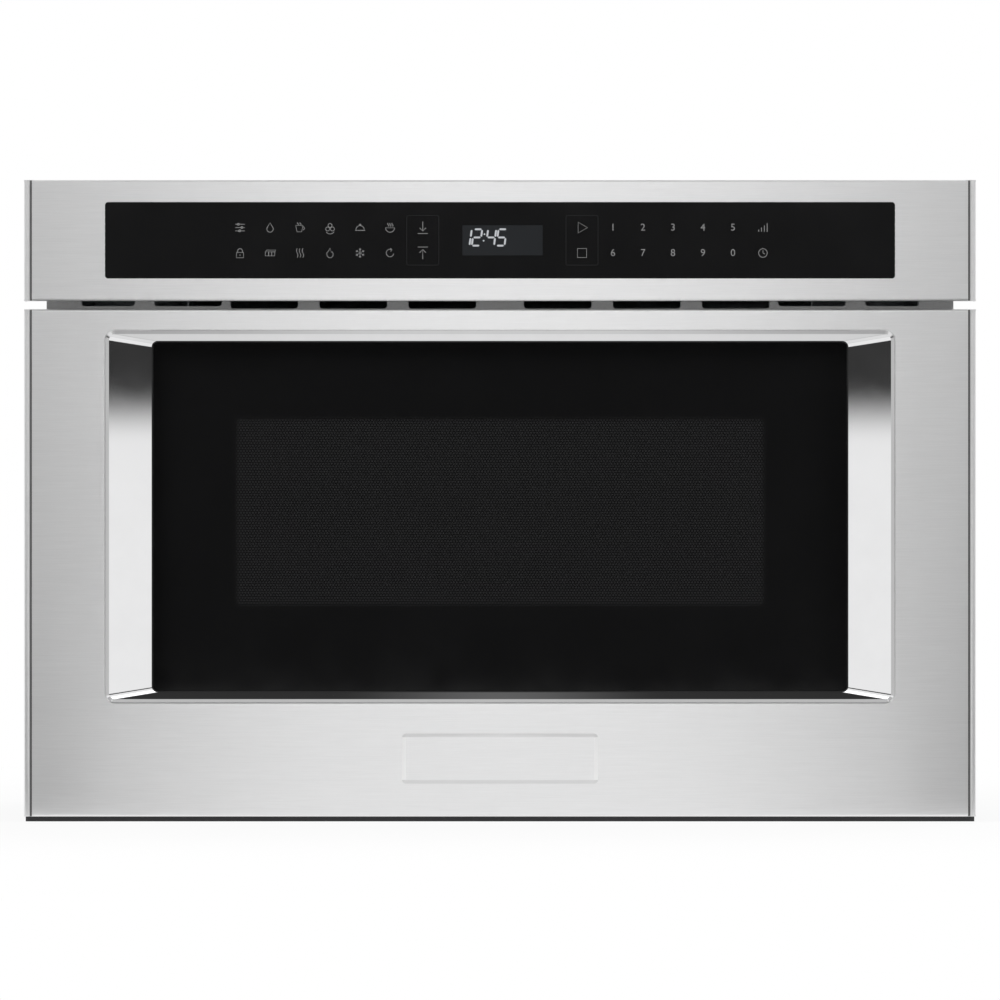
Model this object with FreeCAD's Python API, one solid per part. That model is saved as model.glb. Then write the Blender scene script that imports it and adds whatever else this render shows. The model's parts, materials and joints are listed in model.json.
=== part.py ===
import FreeCAD, Part
import math
import os

# Built-in microwave drawer: a fixed chassis with an oven cavity and a control panel, and a powered drawer.
# Millimetres. +X is the user's right, +Y runs into the cabinet, +Z is up.
# The origin is where the cabinet's front face meets its shelf, on the centre line.
# Widths are built up outwards from the oven chamber, and heights upwards from the base plate.

Vector = FreeCAD.Vector
X_AXIS = Vector(1, 0, 0)
Y_AXIS = Vector(0, 1, 0)
Z_AXIS = Vector(0, 0, 1)

# Clearances that many pieces share
SEAT_GAP = 0.3              # parts that sit in each other
SHIM = 0.2                  # edge of a glass, bezel or cover in its cut-out
SLOT_GAP = 2.0              # room round moving parts in the front frame
RUNNING = 0.05              # radial clearance of a turning or sliding shaft

# Oven chamber, drawer pan and cavity
CHAMBER_WIDTH = 440.0
CHAMBER_HEIGHT = 181.0
CHAMBER_DEPTH = 421.0
PAN_WALL = 1.0
PAN_LEDGE = 15.0            # turned-in floor of the pan
PAN_RIM = 2.0               # turned-out rim of the pan
PAN_RIM_GAP = 11.0          # rim below the cavity's ceiling
FLOOR_PLATE = 5.0
CAVITY_WALL = 1.0
CAVITY_SIDE_GAP = 4.0       # cavity to pan at the sides
CAVITY_FLOOR_GAP = 2.0
CAVITY_REAR_GAP = 8.0

# Front of the appliance
CONTROL_HEIGHT = 77.0
FRONT_GAP = 5.3             # slit between control panel and drawer
FRONT_DEPTH = 38.0          # front face ahead of the cabinet's face
FRONT_DROP = 17.0           # front below the cabinet's shelf
FRONT_RISE = 12.0           # front above the mounting flange
FRONT_OVERLAP = 14.0        # front beyond the flange at each side
DOOR_TOP_MARGIN = 9.7       # drawer front above the choke ring
TRIM_DROP = 3.8             # black lip below the drawer's steel
SKIN = 1.0                  # steel sheet of the front
SKIN_BEND = 0.5             # inside radius of its folds
BEAD_WIDTH = 4.2            # rolled bead down each side
BEAD_GROOVE = 0.8           # dark line beside the bead
BEAD_SINK = 0.8             # floor of that line, behind the skin's back face
FASCIA_LOWER_FOLD = 9.5     # lower fold of the control panel

# Recess, glass and badge of the drawer front
RECESS_SIDE = 52.0          # steel beside the recess
RECESS_BELOW_TOP = 13.7     # steel above it
RECESS_ABOVE_BOTTOM = 76.5  # steel and lip below it
RECESS_RADIUS = 6.0
RECESS_EDGE_BEVEL = 0.8
REVEAL_SIDE = 30.0          # sloping bezel at each side
REVEAL_LEVEL = 7.25         # sloping bezel above and below
REVEAL_DEPTH = 3.17         # depth of that slope
BEZEL = 1.0                 # sheet of the bezel
BEZEL_LAP = 1.5             # bezel's rim behind the steel
BEZEL_ROLL = 2.0            # nearly flat outer edge of the bezel
BEZEL_ROLL_DEPTH = 0.7
BEZEL_EDGE = 0.9            # steep inner edge of the bezel
BEZEL_EDGE_DEPTH = 2.4
BEZEL_LIP = 12.0            # flat flange behind the bezel's inner edge
SIGHT_RADIUS = 3.0          # corners of the glass that shows
DOOR_GLASS_MARGIN = 7.0     # glass hidden behind the bezel
DOOR_GLASS = 4.0
SCREEN = 0.8
INNER_WINDOW = 3.2
BADGE_WIDTH = 124.8
BADGE_HEIGHT = 31.8
BADGE_ABOVE_BOTTOM = 24.8   # badge's lower edge above the drawer's lower edge
BADGE_EDGE = 0.4            # upright edge below the badge's bevel
BADGE_BEVEL = 0.8           # depth of the bevel
BADGE_BEVEL_WIDTH = 2.0
BADGE_RADIUS = 0.6

# Door back
FRAME_RING = 4.0            # thickness of the plastic frame's rear ring
FOOT = 3.0                  # thickness of feet screwed to the door's back
CHOKE_BAND = 27.0           # choke ring round the oven mouth
CHOKE_DEPTH = 7.5
CHOKE_PLATE = 2.0
CHOKE_RIB = 1.5
CHOKE_COVER = 2.5
DOOR_CLEARANCE = 1.3        # choke ring to front frame
BOSS_RADIUS = 6.0
BOSS_INSET = 24.0           # bosses from the door's edges
BOSS_TOP_INSET = 12.0

# Control panel
CONTROL_GLASS_SIDE = 51.5   # steel beside the glass
CONTROL_GLASS_HEIGHT = 48.7
CONTROL_GLASS_RADIUS = 2.0
CONTROL_GLASS_BELOW_TOP = 14.0
CONTROL_GLASS = 3.0
CONTROL_GLASS_SINK = 0.3    # glass behind the steel face
TOUCH_PANEL = 1.0
TOUCH_MARGIN = 6.0          # sensor panel beyond the glass
HOUSING_SIDE = 33.0         # housing inside the front's edge
HOUSING_WALL = 2.5
HOUSING_RIM = 2.0
HOUSING_LIFT = 2.6          # housing above the panel's lower edge, and below its upper one
DISPLAY_WIDTH = 51.6
DISPLAY_HEIGHT = 19.7
DISPLAY_OFFSET = 1.6        # display's centre from the centre line
BOARD_WIDTH = 300.0
BOARD_HEIGHT = 52.0
BOARD = 1.6
BOARD_STANDOFF = 9.2
STANDOFF_RADIUS = 4.0
STANDOFF_INSET = 6.0
RELAY_WIDTH = 18.0
RELAY_HEIGHT = 24.0
RELAY_DEPTH = 12.0
RELAY_PITCH = 48.0
RELAY_COUNT = 5

# Exhaust slots behind the slit
VENT_SHEET = 0.8
VENT_PER_SIDE = 3           # main slots on each side
VENT_CENTRE_BAR = 30.3      # strip between the two middle slots
VENT_BAR = 13.5             # between main slots
VENT_OUTER_BAR = 5.2        # between the main slots and the outer one
VENT_END_BAR = 12.2         # between the outer slot and the end one
VENT_END_WIDTH = 34.3
VENT_END_MARGIN = 21.95     # strip beyond the end slot
VENT_SILL = 0.3             # strip below the main slots
VENT_OUTER_SILL = 1.8       # strip below the outer slots
VENT_CLEARANCE = 0.3        # strip above the drawer
VENT_CORNER = 2.2
VENT_TOP = 1.2              # strip above the slots
VENT_RIB_INSET = 21.0       # ribs inside the strip's ends
VENT_RIB_WIDTH = 1.6
VENT_RIB = 0.8

# Chassis
COVER = 0.8
COVER_BEND = 2.5            # outside radius of the cover's folds
PLATE = 1.2                 # base plate, rear panel and front frame
COVER_FLANGE = 14.0
FLANGE_OVERLAP = 11.0       # flange beyond the cover at each side
FLANGE_RISE = 12.0          # flange above the cover
FLANGE_HOLE_RADIUS = 2.5
FLANGE_HOLE_INSET = 5.5     # holes beside the cover
FLANGE_HOLE_LOW = 65.0
FLANGE_HOLE_SPACING = 260.0
SCREW_RADIUS = 1.9
SCREW_HEAD_RADIUS = 3.8
SCREW_HEAD = 1.8
SCREW_DOME = 1.0            # rounding of a head's rim
SCREW_SLOT_LENGTH = 4.0     # cross recess in a head
SCREW_SLOT_WIDTH = 0.9
SCREW_SLOT_DEPTH = 1.0
SCREW_LENGTH = 6.0
SCREW_TIP_GAP = 0.7         # door screws' tips inside the frame's ring
SCREW_HOLE_GAP = 0.1
REAR_SCREW_COLUMNS = 3
REAR_SCREW_ROWS = 3
REAR_VENT_COUNT = 9
REAR_VENT_WIDTH = 5.0
REAR_VENT_HEIGHT = 70.0
REAR_VENT_PITCH = 12.0
REAR_VENT_GAP = 18.0        # first inlet slot beside the fan's motor
SIDE_VENT_COUNT = 10
SIDE_VENT_ROWS = 2
SIDE_VENT_WIDTH = 4.0
SIDE_VENT_HEIGHT = 40.0
SIDE_VENT_PITCH = 10.0
SIDE_VENT_ROW_PITCH = 52.0
SIDE_VENT_BELOW_TOP = 70.0
GLAND_BORE = 4.5
GLAND_NECK = 10.5
GLAND_FLANGE = 14.0
GLAND_FLANGE_DEPTH = 4.0
GLAND_NUT_DEPTH = 6.0
GLAND_RISE = 61.2           # gland above the mains filter

# Microwave feed
ANTENNA_Y = 205.0
WELL_RADIUS = 88.0
WELL_DEPTH = 16.0
COUPLING_RADIUS = 12.0
MICA = 0.8
MICA_LAP = 8.0
ANTENNA_RADIUS = 72.0
ANTENNA_SHEET = 1.2
ANTENNA_DROP = 8.0          # disc below the cavity's floor
ANTENNA_HUB = 9.0
ANTENNA_HUB_GAP = 1.2       # hub above the well's floor
ANTENNA_SHAFT = 3.5
ANTENNA_SLOTS = 3
ANTENNA_SLOT_WIDTH = 8.0
ANTENNA_SLOT_LENGTH = 72.0
ANTENNA_SLOT_PLACE = 43.2   # slot's centre line from the axis
WAVEGUIDE_WIDTH = 92.0
WAVEGUIDE_HEIGHT = 36.0
WAVEGUIDE_WALL = 1.0
WAVEGUIDE_LEAD = 85.0       # waveguide ahead of the antenna's axis
ANTENNA_MOTOR_RADIUS = 25.0
ANTENNA_MOTOR_HEIGHT = 16.0
ANTENNA_MOTOR_EAR = 12.5
ANTENNA_MOTOR_ROOM = 13.8   # motor above the base plate
MOTOR_BORE_DEPTH = 10.0

# Magnetron, high-voltage parts and cooling fan
PARTS_GAP = 8.0             # between the parts behind the cavity
MAGNETRON_WIDTH = 94.0
MAGNETRON_DEPTH = 78.0
MAGNETRON_ADVANCE = 9.4     # magnetron ahead of the bay's middle
YOKE = 2.0
YOKE_HEIGHT = 70.0
ANODE_RADIUS = 20.0
MAGNET_RADIUS = 27.0
MAGNET_HEIGHT = 12.0
DOME_RADIUS = 8.0
DOME_LENGTH = 20.0
FILTER_BOX_WIDTH = 47.0
FILTER_BOX_DEPTH = 39.0
FILTER_BOX_HEIGHT = 24.0
FIN_COUNT = 6
FIN = 0.8
FIN_GAP = 1.0               # fins to the yoke
CORE_WIDTH = 96.0
CORE_HEIGHT = 80.0
CORE_DEPTH = 50.0
CORE_FLANGE = 2.0
COIL_OVERHANG = 14.0
COIL_SPLIT = 2.0
CAPACITOR_WIDTH = 44.0
CAPACITOR_DEPTH = 30.0
CAPACITOR_HEIGHT = 90.0
TERMINAL_HEIGHT = 9.0
TERMINAL_WIDTH = 6.3
TERMINAL = 0.8
FAN_GAP = 29.0              # fan's plate beside the magnetron
FAN_RADIUS = 50.0
FAN_TIP_GAP = 4.0
FAN_PLATE = 3.0
FAN_BORDER = 3.0            # plate beyond the fan's ring
FAN_BAY_GAP = 4.4           # plate to the cavity and to the rear panel
FAN_DEPTH = 22.0
FAN_HUB = 14.0
FAN_BLADES = 5
FAN_BLADE = 1.6
FAN_PITCH = math.radians(44)
FAN_SHAFT = 2.5
FAN_MOTOR_RADIUS = 26.0
FAN_MOTOR_LENGTH = 34.0
FAN_MOTOR_GAP = 8.0         # motor behind the fan's ring
FAN_STRUT = 6.0
DUCT_SIDE = 26.0            # exhaust duct inside the cavity's sides
DUCT_HEIGHT = 44.0
DUCT_WALL = 1.0
FILTER_WIDTH = 42.0
FILTER_DEPTH = 90.0
FILTER_STANDOFF = 6.0
FILTER_COIL = 13.0
FILTER_COIL_HEIGHT = 20.0
FILTER_COIL_SPACING = 45.0
LAMP_LENGTH = 34.0
LAMP_HEIGHT = 22.0
LAMP_DEPTH = 11.0
LAMP_LENS = 8.0
LAMP_Y = 190.0
CUTOUT_RADIUS = 8.0
CUTOUT_HEIGHT = 10.0
CUTOUT_EARS = 24.0
CUTOUT_EAR = 1.6
SIDE_PARTS_BELOW_TOP = 25.0  # lamp and cut-out below the cavity's ceiling

# Telescopic rails
DRAWER_TRAVEL = 380.0
RAIL_LENGTH = 500.0
RAIL_START = 10.0           # rails behind the cabinet's face
RAIL_RISE = 44.0            # rails' centre above the pan's bottom
RAIL_HEIGHT = 45.0
RAIL_WIDTH = 13.0
RAIL_SHEET = 1.5
RAIL_BRACKET = 1.5
RAIL_BRACKET_RISE = 7.5     # bracket above the rail
RAIL_FOOT = 20.0
RAIL_FOOT_GAP = 14.0        # bracket's foot behind the drawer drive
BALL_RADIUS = 2.7
BALL_GAP = 0.3
BALL_COUNT = 5
BALL_PITCH = 22.0
CAGE_SHEET = 0.8
CAGE_STRIP = 7.0
CAGE_GAP = 0.5              # cage to the fixed channel
CAGE_STOP = 5.0             # cage from the channel's end with the drawer out
ARM = 3.0
ARM_GAP = 7.5               # arm beside the choke ring
ARM_ABOVE_RAIL = 20.0       # above the rail's centre
ARM_BELOW_RAIL = 3.0        # below the rail's lower edge
ARM_END_INSET = 10.0        # arm's end ahead of the rail's
FOOT_WIDTH = 34.0           # feet of the arms and hooks
ARM_FOOT_HEIGHT = 90.0
ARM_SCREW_SPACING = 70.0
FOOT_SCREW_INSET = 7.6      # screws from the feet's outer edges

# Drawer drive
RACK_MODULE = 1.5
RACK_WIDTH = 10.0
RACK_BODY = 8.1             # rack above its tooth roots
RACK_SPARE = 25.0           # rack behind the pinion with the drawer out
PINION_TEETH = 18
PINION_OVERLAP = 0.5        # pinion wider than the rack on each side
DRIVE_Y = 60.0
GEAR_MODULE = 1.0
GEAR_TEETH = 48
GEAR_WIDTH = 6.0
GEAR_GAP = 6.0              # gear beside the inner plate
MOTOR_TEETH = 16
MESH_ANGLE = -60.0          # motor pinion below and behind the drive shaft, in degrees from +Y
PRESSURE_ANGLE = math.radians(20)
ADDENDUM = 0.8              # in modules
DEDENDUM = 1.05
BACKLASH = 0.2
FLANK_STEPS = 4
DRIVE_SHAFT = 4.0
DRIVE_GAP = 4.0             # inner plate beside the cavity
DRIVE_OUTER_GAP = 4.0       # outer plate beside the pinion
DRIVE_PLATE = 2.0
DRIVE_PLATE_DROP = 4.5      # plates below the arm
DRIVE_PLATE_LEAD = 26.0     # plates ahead of the drive shaft
DRIVE_PLATE_TAIL = 56.0     # plates behind it
MOTOR_SHAFT = 2.0
MOTOR_HOLE = 4.0
MOTOR_RADIUS = 16.0
MOTOR_LENGTH = 40.0
MOTOR_CAP_RADIUS = 8.0
MOTOR_CAP = 4.0

# Interlock
HOOK_OUTSIDE = 16.0         # hook's centre beside the choke ring
HOOK_BELOW_CEILING = 48.0
HOOK_WIDTH = 6.0
HOOK_HEIGHT = 12.0
HOOK_REACH = 14.0           # hook tip behind the cabinet's face
HOOK_FOOT = 34.0
PLUNGER_RADIUS = 1.5
PLUNGER_TRAVEL = 3.0
PLUNGER_LENGTH = 12.7
PLUNGER_GAP = 0.3
SWITCH_STANDOFF = 5.7       # switch body behind the plunger's tip
SWITCH_WIDTH = 10.0
SWITCH_LENGTH = 20.0
SWITCH_HEIGHT = 30.0
HOLDER = 2.0
HOLDER_FOOT = 13.0

# Heights, from the base plate upwards
waveguide_bottom = PLATE + ANTENNA_MOTOR_ROOM + ANTENNA_MOTOR_HEIGHT
waveguide_top = waveguide_bottom + WAVEGUIDE_HEIGHT
well_floor = waveguide_top + CAVITY_WALL
cavity_floor = well_floor + WELL_DEPTH
pan_bottom = cavity_floor + CAVITY_FLOOR_GAP
chamber_floor = pan_bottom + PAN_WALL + FLOOR_PLATE
cavity_ceiling = chamber_floor + CHAMBER_HEIGHT
cavity_top = cavity_ceiling + CAVITY_WALL
pan_top = cavity_ceiling - PAN_RIM_GAP
choke_bottom = cavity_floor - CHOKE_BAND
choke_top = cavity_ceiling + CHOKE_BAND
drawer_bottom = -FRONT_DROP
steel_bottom = drawer_bottom + TRIM_DROP
drawer_top = choke_top + DOOR_TOP_MARGIN
control_bottom = drawer_top + FRONT_GAP
front_top = control_bottom + CONTROL_HEIGHT
flange_top = front_top - FRONT_RISE
chassis_height = flange_top - FLANGE_RISE
antenna_z = cavity_floor - ANTENNA_DROP
magnetron_top = waveguide_top + YOKE_HEIGHT
fan_z = waveguide_top + YOKE_HEIGHT / 2
rail_z = pan_bottom + RAIL_RISE
hook_z = cavity_ceiling - HOOK_BELOW_CEILING
side_parts_z = cavity_ceiling - SIDE_PARTS_BELOW_TOP

# Widths, from the chamber outwards
pan_half = CHAMBER_WIDTH / 2 + PAN_WALL
cavity_half = pan_half + CAVITY_SIDE_GAP
cavity_side = cavity_half + CAVITY_WALL
choke_half = cavity_half + CHOKE_BAND
arm_inner = choke_half + ARM_GAP
rail_inner = arm_inner + ARM
rail_outer = rail_inner + RAIL_WIDTH
bracket_outer = rail_outer + RAIL_BRACKET
cover_inner = bracket_outer + SHIM
cover_half = cover_inner + COVER
flange_half = cover_half + FLANGE_OVERLAP
half_front = flange_half + FRONT_OVERLAP
flat_half = half_front - BEAD_WIDTH - BEAD_GROOVE
bead_radius = BEAD_WIDTH / 2
housing_half = half_front - HOUSING_SIDE
duct_half = cavity_side - DUCT_SIDE
hook_x = choke_half + HOOK_OUTSIDE
foot_x = (choke_half + 2 * SEAT_GAP, choke_half + 2 * SEAT_GAP + FOOT_WIDTH)

# Depths of the front and the door, from the front frame forwards
frame_front = -PLATE
door_back = frame_front - DOOR_CLEARANCE
foot_back = door_back - SEAT_GAP
foot_front = foot_back - FOOT
fold_end = foot_front - FRAME_RING
inner_window_back = door_back - CHOKE_DEPTH
choke_groove = inner_window_back + CHOKE_PLATE
screen_back = inner_window_back - INNER_WINDOW
glass_back = screen_back - SCREEN
glass_front = glass_back - DOOR_GLASS
bezel_back = glass_front - BEZEL
front_y = -FRONT_DEPTH
skin_back = front_y + SKIN
vent_front = front_y + FASCIA_LOWER_FOLD + SEAT_GAP + VENT_RIB

# Depths of the chassis
pan_front = choke_groove
pan_rear = inner_window_back + CHAMBER_DEPTH + PAN_WALL
cavity_rear = pan_rear + CAVITY_REAR_GAP
cavity_back = cavity_rear + CAVITY_WALL
fan_ring = FAN_RADIUS + FAN_TIP_GAP + FAN_PLATE
fan_plate_side = 2 * (fan_ring + FAN_BORDER)
bay_middle = cavity_back + FAN_BAY_GAP + fan_plate_side / 2
rear_front = bay_middle + fan_plate_side / 2 + FAN_BAY_GAP
rear_back = rear_front + PLATE
magnetron_y = bay_middle - MAGNETRON_ADVANCE
waveguide_rear = magnetron_y + MAGNETRON_DEPTH / 2 + 2 * WAVEGUIDE_WALL

# Places across the bay behind the cavity, from the magnetron outwards
capacitor_x = -(MAGNETRON_WIDTH / 2 + PARTS_GAP + CAPACITOR_WIDTH / 2)
transformer_x = capacitor_x - CAPACITOR_WIDTH / 2 - PARTS_GAP - CORE_WIDTH / 2
filter_x = transformer_x - CORE_WIDTH / 2 - PARTS_GAP - FILTER_WIDTH / 2
filter_top = PLATE + FILTER_STANDOFF + BOARD + FILTER_COIL_HEIGHT
gland_z = filter_top + GLAND_RISE
fan_x = MAGNETRON_WIDTH / 2 + FAN_GAP
fan_motor_x = fan_x + FAN_DEPTH + FAN_MOTOR_GAP
fan_depth = FAN_DEPTH - 2 * SEAT_GAP
fan_chord = (fan_depth - 2 * FAN_BLADE) / math.sin(FAN_PITCH)
core_leg = CORE_WIDTH / 6

# Window stack, exhaust slots and control panel
recess_width = 2 * (half_front - RECESS_SIDE)
recess_height = drawer_top - RECESS_BELOW_TOP - drawer_bottom - RECESS_ABOVE_BOTTOM
recess_z = drawer_bottom + RECESS_ABOVE_BOTTOM + recess_height / 2
sight_width = recess_width - 2 * REVEAL_SIDE
sight_height = recess_height - 2 * REVEAL_LEVEL
stack_width = sight_width + 2 * DOOR_GLASS_MARGIN
stack_height = sight_height + 2 * DOOR_GLASS_MARGIN
vent_slot_width = (
    flange_half - VENT_END_MARGIN - VENT_END_WIDTH - VENT_END_BAR - VENT_OUTER_BAR
    - (VENT_PER_SIDE - 1) * VENT_BAR - VENT_CENTRE_BAR / 2
) / (VENT_PER_SIDE + 1)
control_glass_width = 2 * (half_front - CONTROL_GLASS_SIDE)
control_glass_z = front_top - CONTROL_GLASS_BELOW_TOP - CONTROL_GLASS_HEIGHT / 2
control_glass_front = front_y + CONTROL_GLASS_SINK
touch_width = control_glass_width + 2 * TOUCH_MARGIN
touch_height = CONTROL_GLASS_HEIGHT + 2 * TOUCH_MARGIN
touch_front = control_glass_front + CONTROL_GLASS
touch_back = touch_front + TOUCH_PANEL
housing_inside = touch_back + HOUSING_WALL
board_front = housing_inside + BOARD_STANDOFF
board_back = board_front + BOARD
housing_bottom = control_bottom + HOUSING_LIFT
housing_top = front_top - HOUSING_LIFT

# Rails, drive and interlock
rail_end = RAIL_START + RAIL_LENGTH
ball_z = RAIL_HEIGHT / 2 - RAIL_SHEET - BALL_GAP - BALL_RADIUS
inner_rail_height = 2 * (ball_z - BALL_RADIUS - BALL_GAP)
inner_rail_depth = RAIL_WIDTH - RAIL_SHEET - CAGE_GAP - CAGE_SHEET - BALL_GAP
ball_x = rail_inner + inner_rail_depth - CAGE_STRIP / 2
cage_start = RAIL_START + DRAWER_TRAVEL / 2 + CAGE_STOP
rack_top = rail_z - RAIL_HEIGHT / 2 - ARM_BELOW_RAIL
rack_root = rack_top - RACK_BODY
rack_pitch_z = rack_root - DEDENDUM * RACK_MODULE
rack_x = (arm_inner + ARM / 2 - RACK_WIDTH / 2, arm_inner + ARM / 2 + RACK_WIDTH / 2)
rack_end = DRIVE_Y + DRAWER_TRAVEL + RACK_SPARE
pinion_radius = RACK_MODULE * PINION_TEETH / 2
pinion_x = (rack_x[0] - PINION_OVERLAP, rack_x[1] + PINION_OVERLAP)
drive_z = rack_pitch_z - pinion_radius
inner_plate_x = cavity_side + DRIVE_GAP
outer_plate_x = pinion_x[1] + DRIVE_OUTER_GAP
drive_gear_start = inner_plate_x + DRIVE_PLATE + GEAR_GAP
drive_gear_x = (drive_gear_start, drive_gear_start + GEAR_WIDTH)
mesh_distance = GEAR_MODULE * (GEAR_TEETH + MOTOR_TEETH) / 2
motor_y = DRIVE_Y + mesh_distance * math.cos(math.radians(MESH_ANGLE))
motor_z = drive_z + mesh_distance * math.sin(math.radians(MESH_ANGLE))
plunger_tip = HOOK_REACH + PLUNGER_GAP
switch_front = plunger_tip + SWITCH_STANDOFF
switch_y = (switch_front, switch_front + SWITCH_LENGTH)


def block(x, y, z):
    """Box between two limits on each axis."""
    return Part.makeBox(x[1] - x[0], y[1] - y[0], z[1] - z[0], Vector(x[0], y[0], z[0]))


def centred(centre, size):
    """Limits of a length about its centre."""
    return (centre - size / 2, centre + size / 2)


def rod(start, axis, radius, length):
    """Cylinder from a start point along an axis."""
    return Part.makeCylinder(radius, length, Vector(*start), axis)


def bores(places, y, radius, length):
    """Cylinders that run back from depth y, at places given as x and z."""
    return [rod((x, y, z), Y_AXIS, radius, length) for x, z in places]


def fused(*shapes):
    """One solid from shapes that meet or overlap."""
    return shapes[0].multiFuse(list(shapes[1:])).removeSplitter()


def cut_away(shape, *tools):
    """Shape with the tools taken out of it."""
    return shape.cut(list(tools)).removeSplitter()


def group(*shapes):
    """Separate solids kept in one node."""
    return Part.makeCompound(list(shapes))


def mirrored(shape):
    """Copy on the other side of the centre line."""
    return shape.mirror(Vector(0, 0, 0), X_AXIS)


def both_sides(shape):
    """A right-hand piece and its left-hand twin."""
    return group(shape, mirrored(shape))


def rounded_outline(width, height, radius, y, centre_z, centre_x=0.0):
    """Closed upright outline with round corners, facing the front."""
    half_w, half_h = width / 2, height / 2
    slope = radius * math.sqrt(0.5)
    edges = []
    corners = [(1, 1), (-1, 1), (-1, -1), (1, -1)]
    for number, (side, level) in enumerate(corners):
        corner = Vector(centre_x + side * (half_w - radius), y, centre_z + level * (half_h - radius))
        beside = corner + Vector(side * radius, 0, 0)
        above = corner + Vector(0, 0, level * radius)
        middle = corner + Vector(side * slope, 0, level * slope)
        start, end = (beside, above) if side == level else (above, beside)
        if number:
            edges.append(Part.LineSegment(last, start).toShape())
        else:
            first = start
        edges.append(Part.Arc(start, middle, end).toShape())
        last = end
    edges.append(Part.LineSegment(last, first).toShape())
    return Part.Wire(edges)


def rounded_plate(width, height, radius, y, centre_z, centre_x=0.0):
    """Upright plate with round corners between two depths."""
    face = Part.Face(rounded_outline(width, height, radius, y[0], centre_z, centre_x))
    return face.extrude(Vector(0, y[1] - y[0], 0))


def grown(outline, margin):
    """Width, height and corner radius of an outline that is larger by a margin all round."""
    width, height, radius = outline
    return (width + 2 * margin, height + 2 * margin, radius + margin)


def tapered_block(front, back, y, centre_z):
    """Solid between a front and a back outline, each given as width, height and corner radius."""
    outlines = [rounded_outline(*front, y[0], centre_z), rounded_outline(*back, y[1], centre_z)]
    return Part.makeLoft(outlines, True, True)


def round_folds(shape, radius):
    """Rounds the two level edges of a block's front face."""
    front = shape.BoundBox.YMin
    boxes = [(edge, edge.BoundBox) for edge in shape.Edges]
    folds = [edge for edge, box in boxes if box.YMax < front + SHIM and box.XLength > box.ZLength]
    return shape.makeFillet(radius, folds)


def wrapped_block(x, y, height, radius):
    """Block that stands on the shelf's level, with its two upper edges from front to back rounded."""
    shape = block(x, y, (0, height))
    boxes = [(edge, edge.BoundBox) for edge in shape.Edges]
    folds = [edge for edge, box in boxes if box.ZMin > height - SHIM and box.YLength > box.XLength]
    return shape.makeFillet(radius, folds)


def folded_skin(z, lower_end):
    """Front sheet with rounded upper and lower folds, and a rolled bead down each side."""
    bottom, top = z
    x = (-flat_half, flat_half)
    outside = round_folds(block(x, (front_y, fold_end), z), SKIN_BEND + SKIN)
    hollow = round_folds(block(x, (skin_back, fold_end), (bottom + SKIN, top - SKIN)), SKIN_BEND)
    sheet = outside.cut(hollow)
    if lower_end < fold_end:
        sheet = sheet.cut(block(x, (lower_end, fold_end), (bottom, bottom + SKIN)))
    bead_x = half_front - bead_radius
    groove_y = (skin_back + BEAD_SINK - SKIN / 2, skin_back + BEAD_SINK)
    web = block((flat_half - SKIN, bead_x), (skin_back - SKIN / 2, groove_y[1]), z)
    web = web.cut(block((flat_half, bead_x), (front_y, groove_y[0]), z))
    bead = rod((bead_x, front_y + bead_radius, bottom), Z_AXIS, bead_radius, top - bottom)
    wall = block((half_front - SKIN, half_front), (front_y + bead_radius, fold_end), z)
    end_x = (flat_half - SKIN, half_front)
    upper_cap = block(end_x, (groove_y[0], fold_end), (top - SKIN, top))
    lower_cap = block(end_x, (groove_y[0], lower_end), (bottom, bottom + SKIN))
    edge = fused(web, bead, wall, upper_cap, lower_cap)
    return fused(sheet, edge, mirrored(edge))


def drawer_panel():
    """Brushed steel front of the drawer, with a bevelled opening for the recess."""
    skin = folded_skin((steel_bottom, drawer_top), fold_end)
    opening = (recess_width, recess_height, RECESS_RADIUS)
    through = rounded_plate(*opening, (front_y, skin_back), recess_z)
    bevel_y = (front_y, front_y + RECESS_EDGE_BEVEL)
    bevel = tapered_block(grown(opening, RECESS_EDGE_BEVEL), opening, bevel_y, recess_z)
    return cut_away(skin, through, bevel)


def recess_bezel():
    """Polished bezel behind the front's opening, with a wall and a flange on the glass.

    It slopes inwards in three steps: a nearly flat outer edge, the reveal and a steep inner edge.
    """
    opening = (recess_width, recess_height, RECESS_RADIUS)
    sight = (sight_width, sight_height, SIGHT_RADIUS)
    outlines = [opening, grown(opening, -BEZEL_ROLL), grown(sight, BEZEL_EDGE), sight]
    depths = [skin_back]
    for step in (BEZEL_ROLL_DEPTH, REVEAL_DEPTH, BEZEL_EDGE_DEPTH):
        depths.append(depths[-1] + step)
    rim = grown(opening, BEZEL_LAP)
    rim_back = skin_back + BEZEL
    wall = grown(sight, BEZEL)
    outside = fused(
        rounded_plate(*rim, (skin_back, rim_back), recess_z),
        tapered_block(rim, wall, (rim_back, depths[-1]), recess_z),
        rounded_plate(*wall, (depths[-1], glass_front), recess_z),
        rounded_plate(*grown(sight, BEZEL_LIP), (bezel_back, glass_front), recess_z),
    )
    tools = [rounded_plate(*sight, (depths[-1], glass_front), recess_z)]
    for front, back, y in zip(outlines, outlines[1:], zip(depths, depths[1:])):
        tools.append(tapered_block(front, back, y, recess_z))
    return cut_away(outside, *tools)


def door_pane(front, back):
    """Full-size pane of the window stack between two depths."""
    return rounded_plate(stack_width, stack_height, SIGHT_RADIUS, (front, back), recess_z)


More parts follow.
